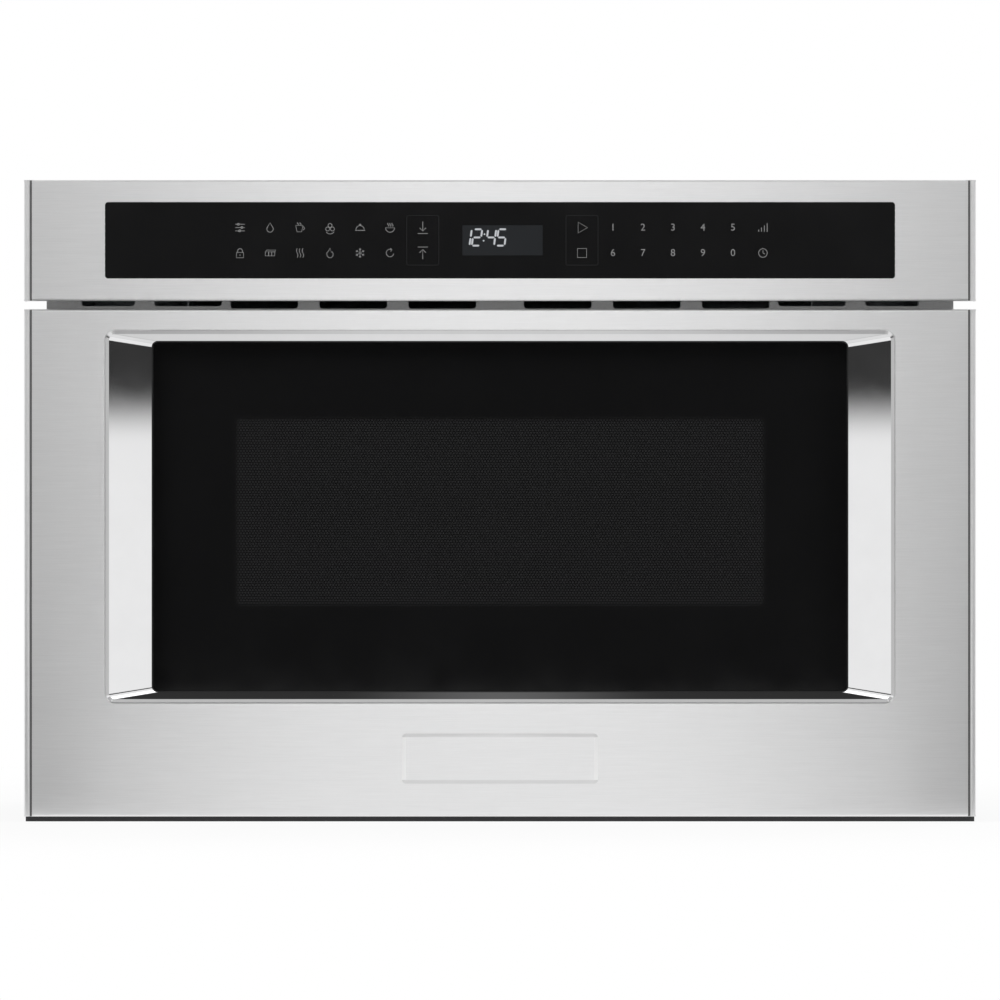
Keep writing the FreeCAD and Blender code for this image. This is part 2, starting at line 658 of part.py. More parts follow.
def door_frame():
    """Black plastic carrier inside the front, whose rear ring shows below the steel."""
    inside_z = (steel_bottom + SKIN + SEAT_GAP, drawer_top - SKIN - SEAT_GAP)
    inside_x = half_front - SKIN - SEAT_GAP
    boss_x = half_front - BOSS_INSET
    core = block((-inside_x, inside_x), (glass_front, fold_end), inside_z)
    ring = block((-half_front, half_front), (fold_end, foot_front), (drawer_bottom, drawer_top))
    boss_z = (inside_z[0] + BOSS_INSET, inside_z[1] - BOSS_TOP_INSET)
    boss_places = [(x, z) for x in (-boss_x, boss_x) for z in boss_z]
    bosses = bores(boss_places, skin_back, BOSS_RADIUS, glass_front - skin_back)
    seat = (stack_width + 2 * SEAT_GAP, stack_height + 2 * SEAT_GAP, SIGHT_RADIUS)
    stack = rounded_plate(*seat, (glass_front, inner_window_back), recess_z)
    choke = block(
        (-choke_half - SEAT_GAP, choke_half + SEAT_GAP),
        (inner_window_back, foot_front),
        (choke_bottom - SEAT_GAP, choke_top + SEAT_GAP),
    )
    holes = bores(door_screw_places(), fold_end, SCREW_RADIUS + SCREW_HOLE_GAP, FRAME_RING)
    return cut_away(fused(core, ring, *bosses), stack, choke, *holes)


def choke_frame():
    """Steel ring on the door's back, with a groove that faces the oven's front frame."""
    rib_y = (choke_groove, door_back)
    plate = block((-choke_half, choke_half), (inner_window_back, choke_groove), (choke_bottom, choke_top))
    outer = block((-choke_half, choke_half), rib_y, (choke_bottom, choke_top))
    groove_x = choke_half - CHOKE_RIB
    groove = block((-groove_x, groove_x), rib_y, (choke_bottom + CHOKE_RIB, choke_top - CHOKE_RIB))
    inner_x = pan_half + CHOKE_RIB
    inner = block((-inner_x, inner_x), rib_y, (pan_bottom - CHOKE_RIB, cavity_ceiling + CHOKE_RIB))
    mouth = block((-pan_half, pan_half), (inner_window_back, door_back), (pan_bottom, cavity_ceiling))
    return cut_away(fused(plate, outer.cut(groove), inner), mouth)


def choke_cover():
    """Plastic ring that closes the choke's groove."""
    y = (door_back - CHOKE_COVER, door_back)
    gap = CHOKE_RIB + SHIM
    ring = block((gap - choke_half, choke_half - gap), y, (choke_bottom + gap, choke_top - gap))
    hole = block((-pan_half - gap, pan_half + gap), y, (pan_bottom - gap, cavity_ceiling + gap))
    return ring.cut(hole)


def badge_plate():
    """Bare raised plate with a wide bevel low on the drawer front."""
    centre_z = drawer_bottom + BADGE_ABOVE_BOTTOM + BADGE_HEIGHT / 2
    outline = (BADGE_WIDTH, BADGE_HEIGHT, BADGE_RADIUS + BADGE_BEVEL_WIDTH)
    edge_front = front_y - BADGE_EDGE
    edge = rounded_plate(*outline, (edge_front, front_y), centre_z)
    bevel_y = (edge_front - BADGE_BEVEL, edge_front)
    return fused(edge, tapered_block(grown(outline, -BADGE_BEVEL_WIDTH), outline, bevel_y, centre_z))


def drawer_pan():
    """Open-topped pan behind the door, with a ledge for the floor plate and a turned-out rim."""
    inner_half = pan_half - PAN_WALL
    outside = block((-pan_half, pan_half), (pan_front, pan_rear), (pan_bottom, pan_top))
    inside_y = (pan_front, pan_rear - PAN_WALL)
    inside = block((-inner_half, inner_half), inside_y, (pan_bottom + PAN_WALL, pan_top))
    floor_hole = block(
        (PAN_LEDGE - pan_half, pan_half - PAN_LEDGE),
        (pan_front + PAN_LEDGE, pan_rear - PAN_LEDGE),
        (pan_bottom, pan_bottom + PAN_WALL),
    )
    rim_x = pan_half + PAN_RIM
    rim = block((-rim_x, rim_x), (DOOR_CLEARANCE, pan_rear + PAN_RIM), (pan_top - PAN_WALL, pan_top))
    return cut_away(fused(outside, rim), inside, floor_hole)


def floor_plate():
    """Glass-ceramic plate that the food stands on."""
    half = pan_half - PAN_WALL - SEAT_GAP
    y = (pan_front + SEAT_GAP, pan_rear - PAN_WALL - SEAT_GAP)
    return block((-half, half), y, (pan_bottom + PAN_WALL, chamber_floor))


def door_screw_places():
    """Screw centres on the door's back: two in each arm's foot and one in each hook's foot."""
    levels = [*centred(rail_z, ARM_SCREW_SPACING), hook_z + HOOK_FOOT / 2 - FOOT_SCREW_INSET]
    screw_x = foot_x[1] - FOOT_SCREW_INSET
    return [(x, z) for x in (-screw_x, screw_x) for z in levels]


def foot_holes():
    """Screw holes, sunk for the heads, through feet on the door's back."""
    places = door_screw_places()
    through = bores(places, foot_front, SCREW_RADIUS + SCREW_HOLE_GAP, FOOT)
    sinks = bores(places, foot_back - SCREW_HEAD, SCREW_HEAD_RADIUS + SCREW_HOLE_GAP, SCREW_HEAD)
    return through + sinks


def screw(place, tip, seat):
    """Screw from its tip to a domed head on a seat that faces the back, with a cross recess."""
    x, z = place
    head_end = seat + SCREW_HEAD
    head = rod((x, seat, z), Y_AXIS, SCREW_HEAD_RADIUS, SCREW_HEAD)
    rim = [edge for edge in head.Edges if edge.BoundBox.YMin > head_end - SHIM]
    head = head.makeFillet(SCREW_DOME, rim)
    shank = rod((x, tip, z), Y_AXIS, SCREW_RADIUS, seat - tip)
    slot_y = (head_end - SCREW_SLOT_DEPTH, head_end)
    level = block(centred(x, SCREW_SLOT_LENGTH), slot_y, centred(z, SCREW_SLOT_WIDTH))
    upright = block(centred(x, SCREW_SLOT_WIDTH), slot_y, centred(z, SCREW_SLOT_LENGTH))
    return cut_away(fused(shank, head), level, upright)


def door_screws():
    """Screws that hold the arms' and hooks' feet, with sunk heads."""
    tip = fold_end + SCREW_TIP_GAP
    return group(*[screw(place, tip, foot_back - SCREW_HEAD) for place in door_screw_places()])


def drawer_arms():
    """Flat bars from the door's back to the moving rails."""
    bar_z = (rack_top, rail_z + ARM_ABOVE_RAIL)
    bar = block((arm_inner, rail_inner), (foot_front, rail_end - ARM_END_INSET), bar_z)
    foot = block(foot_x, (foot_front, foot_back), centred(rail_z, ARM_FOOT_HEIGHT))
    return both_sides(cut_away(fused(bar, foot), *foot_holes()))


def latch_hooks():
    """Latch tongues beside the choke that press the interlock switches."""
    foot = block(foot_x, (foot_front, foot_back), centred(hook_z, HOOK_FOOT))
    tongue = block(centred(hook_x, HOOK_WIDTH), (foot_front, HOOK_REACH), centred(hook_z, HOOK_HEIGHT))
    return both_sides(cut_away(fused(foot, tongue), *foot_holes()))


def rail_channel_outer():
    """Fixed channel of the right-hand rail, open towards the oven."""
    y = (RAIL_START, rail_end)
    outside = block((rail_inner + RAIL_SHEET, rail_outer), y, centred(rail_z, RAIL_HEIGHT))
    inside_z = centred(rail_z, RAIL_HEIGHT - 2 * RAIL_SHEET)
    return outside.cut(block((rail_inner, rail_outer - RAIL_SHEET), y, inside_z))


def rail_channel_inner():
    """Moving channel of the right-hand rail, open away from the oven."""
    y = (RAIL_START, rail_end)
    outside = block((rail_inner, rail_inner + inner_rail_depth), y, centred(rail_z, inner_rail_height))
    inside_z = centred(rail_z, inner_rail_height - 2 * RAIL_SHEET)
    return outside.cut(block((rail_inner + RAIL_SHEET, rail_outer), y, inside_z))


def ball_cage():
    """Balls of the right-hand rail and the bent strip that spaces them."""
    y = (cage_start, cage_start + BALL_COUNT * BALL_PITCH)
    strip_x = (ball_x - CAGE_STRIP / 2, ball_x + CAGE_STRIP / 2 + BALL_GAP)
    web_x = (strip_x[1], strip_x[1] + CAGE_SHEET)
    pieces = [block(web_x, y, centred(rail_z, 2 * ball_z + CAGE_SHEET))]
    balls = []
    pockets = []
    for level in (rail_z - ball_z, rail_z + ball_z):
        pieces.append(block((strip_x[0], web_x[1]), y, centred(level, CAGE_SHEET)))
        for number in range(BALL_COUNT):
            place = Vector(ball_x, y[0] + (number + 0.5) * BALL_PITCH, level)
            balls.append(Part.makeSphere(BALL_RADIUS, place))
            pockets.append(Part.makeSphere(BALL_RADIUS + BALL_GAP, place))
    return group(cut_away(fused(*pieces), *pockets), *balls)


def rail_brackets():
    """Upright plates on the base that carry the fixed channels."""
    plate_z = (PLATE, rail_z + RAIL_HEIGHT / 2 + RAIL_BRACKET_RISE)
    plate = block((rail_outer, bracket_outer), (RAIL_START, rail_end), plate_z)
    foot_y = (DRIVE_Y + DRIVE_PLATE_TAIL + RAIL_FOOT_GAP, cavity_back)
    foot = block((rail_outer - RAIL_FOOT, bracket_outer), foot_y, (PLATE, PLATE + RAIL_BRACKET))
    return both_sides(fused(plate, foot))


def gear_outline(teeth, module, tooth_angle):
    """Involute outline in the plane across X, about the origin, with a tooth centred on tooth_angle."""
    pitch = teeth * module / 2
    base = pitch * math.cos(PRESSURE_ANGLE)
    tip = pitch + ADDENDUM * module
    root = pitch - DEDENDUM * module
    start = max(base, root)
    half_tooth = (math.pi * module - BACKLASH) / (4 * pitch)

    def involute(angle):
        return math.tan(angle) - angle

    def half_angle(radius):
        return half_tooth + involute(PRESSURE_ANGLE) - involute(math.acos(min(1.0, base / radius)))

    def point(radius, angle):
        return Vector(0, radius * math.cos(angle), radius * math.sin(angle))

    radii = [start + (tip - start) * step / FLANK_STEPS for step in range(FLANK_STEPS + 1)]
    step_angle = 2 * math.pi / teeth
    edges = []
    for number in range(teeth):
        centre = tooth_angle + number * step_angle
        following = centre + step_angle
        rising = [point(radius, centre - half_angle(radius)) for radius in radii]
        falling = [point(radius, centre + half_angle(radius)) for radius in reversed(radii)]
        foot_in = point(root, centre - half_angle(start))
        foot_out = point(root, centre + half_angle(start))
        foot_next = point(root, following - half_angle(start))
        flank_in, flank_out = Part.BSplineCurve(), Part.BSplineCurve()
        flank_in.interpolate(rising)
        flank_out.interpolate(falling)
        if start > root:
            edges.append(Part.LineSegment(foot_in, rising[0]).toShape())
        edges.append(flank_in.toShape())
        edges.append(Part.Arc(rising[-1], point(tip, centre), falling[0]).toShape())
        edges.append(flank_out.toShape())
        if start > root:
            edges.append(Part.LineSegment(falling[-1], foot_out).toShape())
        edges.append(Part.Arc(foot_out, point(root, centre + step_angle / 2), foot_next).toShape())
    return Part.Wire(edges)


def spur_gear(teeth, module, tooth_angle, x, y, z):
    """Spur gear on an X axis between two limits."""
    gear = Part.Face(gear_outline(teeth, module, tooth_angle)).extrude(Vector(x[1] - x[0], 0, 0))
    gear.translate(Vector(x[0], y, z))
    return gear


def drive_rack():
    """Toothed bar under the right-hand arm, with a tooth over the pinion's centre."""
    pitch = math.pi * RACK_MODULE
    tip_z = rack_pitch_z - ADDENDUM * RACK_MODULE
    half = (pitch - BACKLASH) / 4
    slope = math.tan(PRESSURE_ANGLE)
    half_tip = half - ADDENDUM * RACK_MODULE * slope
    half_root = half + DEDENDUM * RACK_MODULE * slope
    start = foot_back + SHIM
    first = math.ceil((start + pitch - DRIVE_Y) / pitch)
    last = math.floor((rack_end - pitch - DRIVE_Y) / pitch)
    points = [(start, rack_top), (start, rack_root)]
    for number in range(first, last + 1):
        centre = DRIVE_Y + number * pitch
        points += [(centre - half_root, rack_root), (centre - half_tip, tip_z)]
        points += [(centre + half_tip, tip_z), (centre + half_root, rack_root)]
    points += [(rack_end, rack_root), (rack_end, rack_top)]
    outline = [Vector(rack_x[0], y, z) for y, z in points]
    return Part.Face(Part.makePolygon(outline + outline[:1])).extrude(Vector(RACK_WIDTH, 0, 0))


def drive_gear():
    """Moulded gear and rack pinion in one piece, pressed on the drive shaft."""
    gear = spur_gear(GEAR_TEETH, GEAR_MODULE, math.radians(MESH_ANGLE), drive_gear_x, DRIVE_Y, drive_z)
    space = math.pi / 2 + math.pi / PINION_TEETH
    pinion = spur_gear(PINION_TEETH, RACK_MODULE, space, pinion_x, DRIVE_Y, drive_z)
    start = (drive_gear_x[0], DRIVE_Y, drive_z)
    length = pinion_x[1] - drive_gear_x[0]
    sleeve = rod(start, X_AXIS, pinion_radius - DEDENDUM * RACK_MODULE, length)
    return cut_away(fused(gear, sleeve, pinion), rod(start, X_AXIS, DRIVE_SHAFT, length))


def drive_shaft():
    """Steel shaft carried by the two plates of the drive bracket."""
    length = outer_plate_x + DRIVE_PLATE - inner_plate_x
    return rod((inner_plate_x, DRIVE_Y, drive_z), X_AXIS, DRIVE_SHAFT, length)


def motor_pinion():
    """Small gear and the motor's shaft, which turn together."""
    space = math.radians(MESH_ANGLE) + math.pi + math.pi / MOTOR_TEETH
    gear = spur_gear(MOTOR_TEETH, GEAR_MODULE, space, drive_gear_x, motor_y, motor_z)
    start = inner_plate_x - MOTOR_BORE_DEPTH
    shaft = rod((start, motor_y, motor_z), X_AXIS, MOTOR_SHAFT, drive_gear_x[1] - start)
    return fused(gear, shaft)


def drive_motor():
    """Gear motor screwed to the drive bracket, under the cavity."""
    start = inner_plate_x - MOTOR_LENGTH
    can = rod((start, motor_y, motor_z), X_AXIS, MOTOR_RADIUS, MOTOR_LENGTH)
    cap = rod((start - MOTOR_CAP, motor_y, motor_z), X_AXIS, MOTOR_CAP_RADIUS, MOTOR_CAP)
    depth = MOTOR_BORE_DEPTH + SEAT_GAP
    bore = rod((inner_plate_x - depth, motor_y, motor_z), X_AXIS, MOTOR_SHAFT + RUNNING, depth)
    return cut_away(fused(can, cap), bore)


def drive_bracket():
    """Bent plate on the base that carries the drive shaft and the motor."""
    y = (DRIVE_Y - DRIVE_PLATE_LEAD, DRIVE_Y + DRIVE_PLATE_TAIL)
    base = block((inner_plate_x, outer_plate_x + DRIVE_PLATE), y, (PLATE, PLATE + DRIVE_PLATE))
    tall = (PLATE, rack_top - DRIVE_PLATE_DROP)
    plates = [block((x, x + DRIVE_PLATE), y, tall) for x in (inner_plate_x, outer_plate_x)]
    length = outer_plate_x + DRIVE_PLATE - inner_plate_x
    shaft_hole = rod((inner_plate_x, DRIVE_Y, drive_z), X_AXIS, DRIVE_SHAFT + RUNNING, length)
    motor_hole = rod((inner_plate_x, motor_y, motor_z), X_AXIS, MOTOR_HOLE, DRIVE_PLATE)
    return cut_away(fused(base, *plates), shaft_hole, motor_hole)


def control_fascia():
    """Brushed steel control panel with the cut-out for the touch glass."""
    skin = folded_skin((control_bottom, front_top), front_y + FASCIA_LOWER_FOLD)
    window = (control_glass_width, CONTROL_GLASS_HEIGHT, CONTROL_GLASS_RADIUS)
    return cut_away(skin, rounded_plate(*window, (front_y, skin_back), control_glass_z))


def control_glass():
    """Black touch glass that sits in the fascia's cut-out."""
    pane = grown((control_glass_width, CONTROL_GLASS_HEIGHT, CONTROL_GLASS_RADIUS), -SHIM)
    return rounded_plate(*pane, (control_glass_front, touch_front), control_glass_z)


def touch_panel():
    """Touch sensor bonded behind the glass."""
    outline = (touch_width, touch_height, CONTROL_GLASS_RADIUS)
    return rounded_plate(*outline, (touch_front, touch_back), control_glass_z)


def board_corners():
    """Places of the control board's standoffs."""
    half_w = BOARD_WIDTH / 2 - STANDOFF_INSET
    half_h = BOARD_HEIGHT / 2 - STANDOFF_INSET
    return [(x, control_glass_z + z) for x in (-half_w, half_w) for z in (-half_h, half_h)]


def control_housing():
    """Plastic box behind the control panel that holds the sensor, the display and the board."""
    inner_half = housing_half - HOUSING_WALL
    outside = block((-housing_half, housing_half), (touch_back, frame_front), (housing_bottom, housing_top))
    inside_z = (housing_bottom + HOUSING_WALL, housing_top - HOUSING_WALL)
    inside = block((-inner_half, inner_half), (housing_inside, frame_front), inside_z)
    rim_y = (skin_back, touch_back)
    seat = grown((touch_width, touch_height, CONTROL_GLASS_RADIUS), SEAT_GAP)
    rim = rounded_plate(*grown(seat, HOUSING_RIM), rim_y, control_glass_z)
    pocket = rounded_plate(*seat, rim_y, control_glass_z)
    display = block(
        centred(DISPLAY_OFFSET, DISPLAY_WIDTH + 2 * SEAT_GAP),
        (touch_back, housing_inside),
        centred(control_glass_z, DISPLAY_HEIGHT + 2 * SEAT_GAP),
    )
    posts = bores(board_corners(), housing_inside, STANDOFF_RADIUS, BOARD_STANDOFF)
    return cut_away(fused(outside.cut(inside), rim.cut(pocket), *posts), display)


def display_module():
    """Clock display between the board and the touch panel."""
    x = centred(DISPLAY_OFFSET, DISPLAY_WIDTH)
    return block(x, (touch_back, board_front), centred(control_glass_z, DISPLAY_HEIGHT))


def control_board():
    """Circuit board with a row of relays on its back."""
    board = block(centred(0, BOARD_WIDTH), (board_front, board_back), centred(control_glass_z, BOARD_HEIGHT))
    relay_y = (board_back, board_back + RELAY_DEPTH)
    relays = []
    for number in range(RELAY_COUNT):
        x = centred((number - (RELAY_COUNT - 1) / 2) * RELAY_PITCH, RELAY_WIDTH)
        relays.append(block(x, relay_y, centred(control_glass_z, RELAY_HEIGHT)))
    return group(board, *relays)


def main_vent_slots():
    """Limits across of the right-hand main exhaust slots, outwards from the centre line."""
    starts = [VENT_CENTRE_BAR / 2 + number * (vent_slot_width + VENT_BAR) for number in range(VENT_PER_SIDE)]
    return [(start, start + vent_slot_width) for start in starts]


def outer_vent_slots():
    """Limits across of the two lower slots beyond the main ones on the right."""
    outer = main_vent_slots()[-1][1] + VENT_OUTER_BAR
    end = outer + vent_slot_width + VENT_END_BAR
    return [(outer, outer + vent_slot_width), (end, end + VENT_END_WIDTH)]


def vent_grille():
    """Slotted strip across the slit, hung from a shelf under the control housing."""
    bottom = drawer_top + VENT_CLEARANCE
    top = housing_bottom - SEAT_GAP
    x = (-flange_half, flange_half)
    strip_y = (vent_front, vent_front + VENT_SHEET)
    strip = block(x, strip_y, (bottom, top))
    shelf = block(x, (vent_front, frame_front), (top - VENT_SHEET, top))
    rib_x = centred(flange_half - VENT_RIB_INSET, VENT_RIB_WIDTH)
    rib = block(rib_x, (vent_front - VENT_RIB, vent_front), (bottom, control_bottom + VENT_SHEET))
    slots = [(limits, VENT_SILL) for limits in main_vent_slots()]
    slots += [(limits, VENT_OUTER_SILL) for limits in outer_vent_slots()]
    tools = []
    for limits, sill in slots:
        z = (bottom + sill, top - VENT_TOP)
        slot = block(limits, strip_y, z)
        boxes = [(edge, edge.BoundBox) for edge in slot.Edges]
        low = [edge for edge, box in boxes if box.ZMax < z[0] + SHIM and box.YLength > SHIM]
        slot = slot.makeFillet(VENT_CORNER, low)
        tools += [slot, mirrored(slot)]
    return cut_away(fused(strip, shelf, rib, mirrored(rib)), *tools)


def front_frame():
    """Mounting flange with the oven mouth, rail and latch slots, exhaust slots and screw holes."""
    y = (frame_front, 0)
    plate = block((-flange_half, flange_half), y, (PLATE, flange_top))
    mouth = block((-cavity_half, cavity_half), y, (cavity_floor, cavity_ceiling))
    rail_slot_z = (
        rack_pitch_z - ADDENDUM * RACK_MODULE - SLOT_GAP,
        rail_z + RAIL_HEIGHT / 2 + SLOT_GAP,
    )
    hook_slot_x = centred(hook_x, HOOK_WIDTH + 2 * SLOT_GAP)
    slots = [
        block((rack_x[0] - SLOT_GAP, rail_outer), y, rail_slot_z),
        block(hook_slot_x, y, centred(hook_z, HOOK_HEIGHT + 2 * SLOT_GAP)),
    ]
    exhaust_z = (drawer_top + VENT_CLEARANCE, housing_bottom - SEAT_GAP - VENT_SHEET)
    slots += [block(limits, y, exhaust_z) for limits in main_vent_slots() + outer_vent_slots()]
    hole_x = cover_half + FLANGE_HOLE_INSET
    hole_z = (FLANGE_HOLE_LOW, FLANGE_HOLE_LOW + FLANGE_HOLE_SPACING)
    slots += bores([(hole_x, z) for z in hole_z], frame_front, FLANGE_HOLE_RADIUS, PLATE)
    return cut_away(plate, mouth, *slots, *[mirrored(slot) for slot in slots])


def base_plate():
    """Bottom of the chassis, which stands on the cabinet's shelf."""
    return block((-cover_inner, cover_inner), (frame_front, rear_front), (0, PLATE))


def side_vents():
    """Upright slots through both sides of the cover, beside the parts behind the cavity."""
    across = (-cover_half, cover_half)
    straight = SIDE_VENT_HEIGHT - SIDE_VENT_WIDTH
    tools = []
    for row in range(SIDE_VENT_ROWS):
        middle_z = chassis_height - SIDE_VENT_BELOW_TOP - row * SIDE_VENT_ROW_PITCH
        for number in range(SIDE_VENT_COUNT):
            y = bay_middle + (number - (SIDE_VENT_COUNT - 1) / 2) * SIDE_VENT_PITCH
            pieces = [block(across, centred(y, SIDE_VENT_WIDTH), centred(middle_z, straight))]
            for z in centred(middle_z, straight):
                pieces.append(rod((-cover_half, y, z), X_AXIS, SIDE_VENT_WIDTH / 2, 2 * cover_half))
            tools.append(fused(*pieces))
    return tools


def outer_cover():
    """Wrapped top and sides of the chassis, with flanges for the rear panel's screws."""
    y = (0, rear_front)
    inner = (-cover_inner, cover_inner)
    door_x = cover_half - COVER_FLANGE
    outside = wrapped_block((-cover_half, cover_half), y, chassis_height, COVER_BEND)
    inside = wrapped_block(inner, (0, rear_front - PLATE), chassis_height - COVER, COVER_BEND - COVER)
    doorway = block((-door_x, door_x), y, (0, chassis_height - COVER_FLANGE))
    clear_base = block(inner, y, (0, PLATE))
    holes = bores(rear_screw_places(), rear_front - PLATE, SCREW_RADIUS + SCREW_HOLE_GAP, PLATE)
    return cut_away(outside, inside, doorway, clear_base, *holes, *side_vents())


def rear_screw_places():
    """Screw centres round the rear panel's sides and top, on the cover's flanges."""
    inset = COVER_FLANGE / 2
    half = cover_half - inset
    top = chassis_height - inset
    side_step = (top - COVER_FLANGE) / REAR_SCREW_ROWS
    top_step = 2 * half / (REAR_SCREW_COLUMNS + 1)
    places = [(x, COVER_FLANGE + row * side_step) for x in (-half, half) for row in range(REAR_SCREW_ROWS)]
    places += [(column * top_step - half, top) for column in range(1, REAR_SCREW_COLUMNS + 1)]
    return places


def rear_panel():
    """Back of the chassis, with air inlets beside the fan's motor and a hole for the cord gland."""
    y = (rear_front, rear_back)
    plate = wrapped_block((-cover_half, cover_half), y, chassis_height, COVER_BEND)
    tools = bores([(filter_x, gland_z)], rear_front, GLAND_NECK + SCREW_HOLE_GAP, PLATE)
    first = fan_motor_x + FAN_MOTOR_LENGTH + REAR_VENT_GAP
    vent = (REAR_VENT_WIDTH, REAR_VENT_HEIGHT, REAR_VENT_WIDTH / 2 - SHIM)
    for number in range(REAR_VENT_COUNT):
        tools.append(rounded_plate(*vent, y, fan_z, first + number * REAR_VENT_PITCH))
    tools += bores(rear_screw_places(), rear_front, SCREW_RADIUS + SCREW_HOLE_GAP, PLATE)
    return cut_away(plate, *tools)


def chassis_screws():
    """Screws that hold the rear panel to the cover."""
    return group(*[screw(place, rear_back - SCREW_LENGTH, rear_back) for place in rear_screw_places()])


def cord_gland():
    """Strain-relief bush for the supply cord in the rear panel."""
    nut_y = rear_front - GLAND_NUT_DEPTH
    length = GLAND_NUT_DEPTH + PLATE + GLAND_FLANGE_DEPTH
    flange = rod((filter_x, rear_back, gland_z), Y_AXIS, GLAND_FLANGE, GLAND_FLANGE_DEPTH)
    neck = rod((filter_x, rear_front, gland_z), Y_AXIS, GLAND_NECK, PLATE)
    nut = rod((filter_x, nut_y, gland_z), Y_AXIS, GLAND_FLANGE, GLAND_NUT_DEPTH)
    return cut_away(fused(flange, neck, nut), rod((filter_x, nut_y, gland_z), Y_AXIS, GLAND_BORE, length))


def oven_cavity():
    """Fixed steel box round the drawer pan, with a round well for the antenna in its floor."""
    outside_z = (cavity_floor - CAVITY_WALL, cavity_top)
    outside = block((-cavity_side, cavity_side), (0, cavity_back), outside_z)
    inside = block((-cavity_half, cavity_half), (0, cavity_rear), (cavity_floor, cavity_ceiling))
    depth = WELL_DEPTH + CAVITY_WALL
    well = rod((0, ANTENNA_Y, waveguide_top), Z_AXIS, WELL_RADIUS + CAVITY_WALL, depth)
    hollow = rod((0, ANTENNA_Y, well_floor), Z_AXIS, WELL_RADIUS, depth)
    coupling = rod((0, ANTENNA_Y, waveguide_top), Z_AXIS, COUPLING_RADIUS, CAVITY_WALL)
    lamp = rod((-cavity_side, LAMP_Y, side_parts_z), X_AXIS, LAMP_LENS, CAVITY_WALL)
    return cut_away(fused(outside.cut(inside), well), hollow, coupling, lamp)


def mica_cover():
    """Thin plate over the antenna's well."""
    return rod((0, ANTENNA_Y, cavity_floor), Z_AXIS, WELL_RADIUS + MICA_LAP, MICA)


def waveguide():
    """Rectangular duct from the magnetron to the antenna, under the cavity."""
    wall = WAVEGUIDE_WALL
    front = ANTENNA_Y - WAVEGUIDE_LEAD
    z = (waveguide_bottom, waveguide_top)
    outside = block(centred(0, WAVEGUIDE_WIDTH), (front, waveguide_rear), z)
    inside_x = centred(0, WAVEGUIDE_WIDTH - 2 * wall)
    inside = block(inside_x, (front + wall, waveguide_rear - wall), (z[0] + wall, z[1] - wall))
    coupling = rod((0, ANTENNA_Y, z[1] - wall), Z_AXIS, COUPLING_RADIUS, wall)
    dome = rod((0, magnetron_y, z[1] - wall), Z_AXIS, DOME_RADIUS + SEAT_GAP, wall)
    shaft = rod((0, ANTENNA_Y, z[0]), Z_AXIS, ANTENNA_SHAFT + SEAT_GAP, wall)
    return cut_away(outside, inside, coupling, dome, shaft)


def antenna():
    """Rotating antenna disc with slots, on its shaft."""
    disc_z = (antenna_z - ANTENNA_SHEET, antenna_z)
    disc = rod((0, ANTENNA_Y, disc_z[0]), Z_AXIS, ANTENNA_RADIUS, ANTENNA_SHEET)
    tools = []
    for number in range(ANTENNA_SLOTS):
        slot_x = centred(ANTENNA_SLOT_PLACE, ANTENNA_SLOT_WIDTH)
        slot = block(slot_x, centred(ANTENNA_Y, ANTENNA_SLOT_LENGTH), disc_z)
        slot.rotate(Vector(0, ANTENNA_Y, 0), Z_AXIS, number * 360 / ANTENNA_SLOTS)
        tools.append(slot)
    hub_z = well_floor + ANTENNA_HUB_GAP
    hub = rod((0, ANTENNA_Y, hub_z), Z_AXIS, ANTENNA_HUB, antenna_z - hub_z)
    foot = waveguide_bottom - MOTOR_BORE_DEPTH
    shaft = rod((0, ANTENNA_Y, foot), Z_AXIS, ANTENNA_SHAFT, antenna_z - foot)
    return fused(cut_away(disc, *tools), hub, shaft)


def antenna_motor():
    """Slow motor under the waveguide that turns the antenna."""
    bottom = waveguide_bottom - ANTENNA_MOTOR_HEIGHT
    can = rod((0, ANTENNA_Y, bottom), Z_AXIS, ANTENNA_MOTOR_RADIUS, ANTENNA_MOTOR_HEIGHT)
    ear_x = centred(0, 2 * (ANTENNA_MOTOR_RADIUS + ANTENNA_MOTOR_EAR))
    ear_z = (waveguide_bottom - WAVEGUIDE_WALL, waveguide_bottom)
    ears = block(ear_x, centred(ANTENNA_Y, ANTENNA_MOTOR_EAR), ear_z)
    depth = MOTOR_BORE_DEPTH + SEAT_GAP
    bore = rod((0, ANTENNA_Y, waveguide_bottom - depth), Z_AXIS, ANTENNA_SHAFT + RUNNING, depth)
    return cut_away(fused(can, ears), bore)


def magnetron_body():
    """Magnetron yoke, magnets, anode, filter box and the output dome in the waveguide."""
    x, y = centred(0, MAGNETRON_WIDTH), centred(magnetron_y, MAGNETRON_DEPTH)
    z = (waveguide_top, magnetron_top)
    yoke = block(x, y, z).cut(block(x, (y[0] + YOKE, y[1] - YOKE), (z[0] + YOKE, z[1] - YOKE)))
    anode = rod((0, magnetron_y, z[0]), Z_AXIS, ANODE_RADIUS, YOKE_HEIGHT)
    levels = (z[0] + YOKE, z[1] - YOKE - MAGNET_HEIGHT)
    magnets = [rod((0, magnetron_y, level), Z_AXIS, MAGNET_RADIUS, MAGNET_HEIGHT) for level in levels]
    box_y = centred(magnetron_y, FILTER_BOX_DEPTH)
    box = block(centred(0, FILTER_BOX_WIDTH), box_y, (z[1], z[1] + FILTER_BOX_HEIGHT))
    dome = rod((0, magnetron_y, z[0] - DOME_LENGTH), Z_AXIS, DOME_RADIUS, DOME_LENGTH)
    return fused(yoke, anode, *magnets, box, dome)


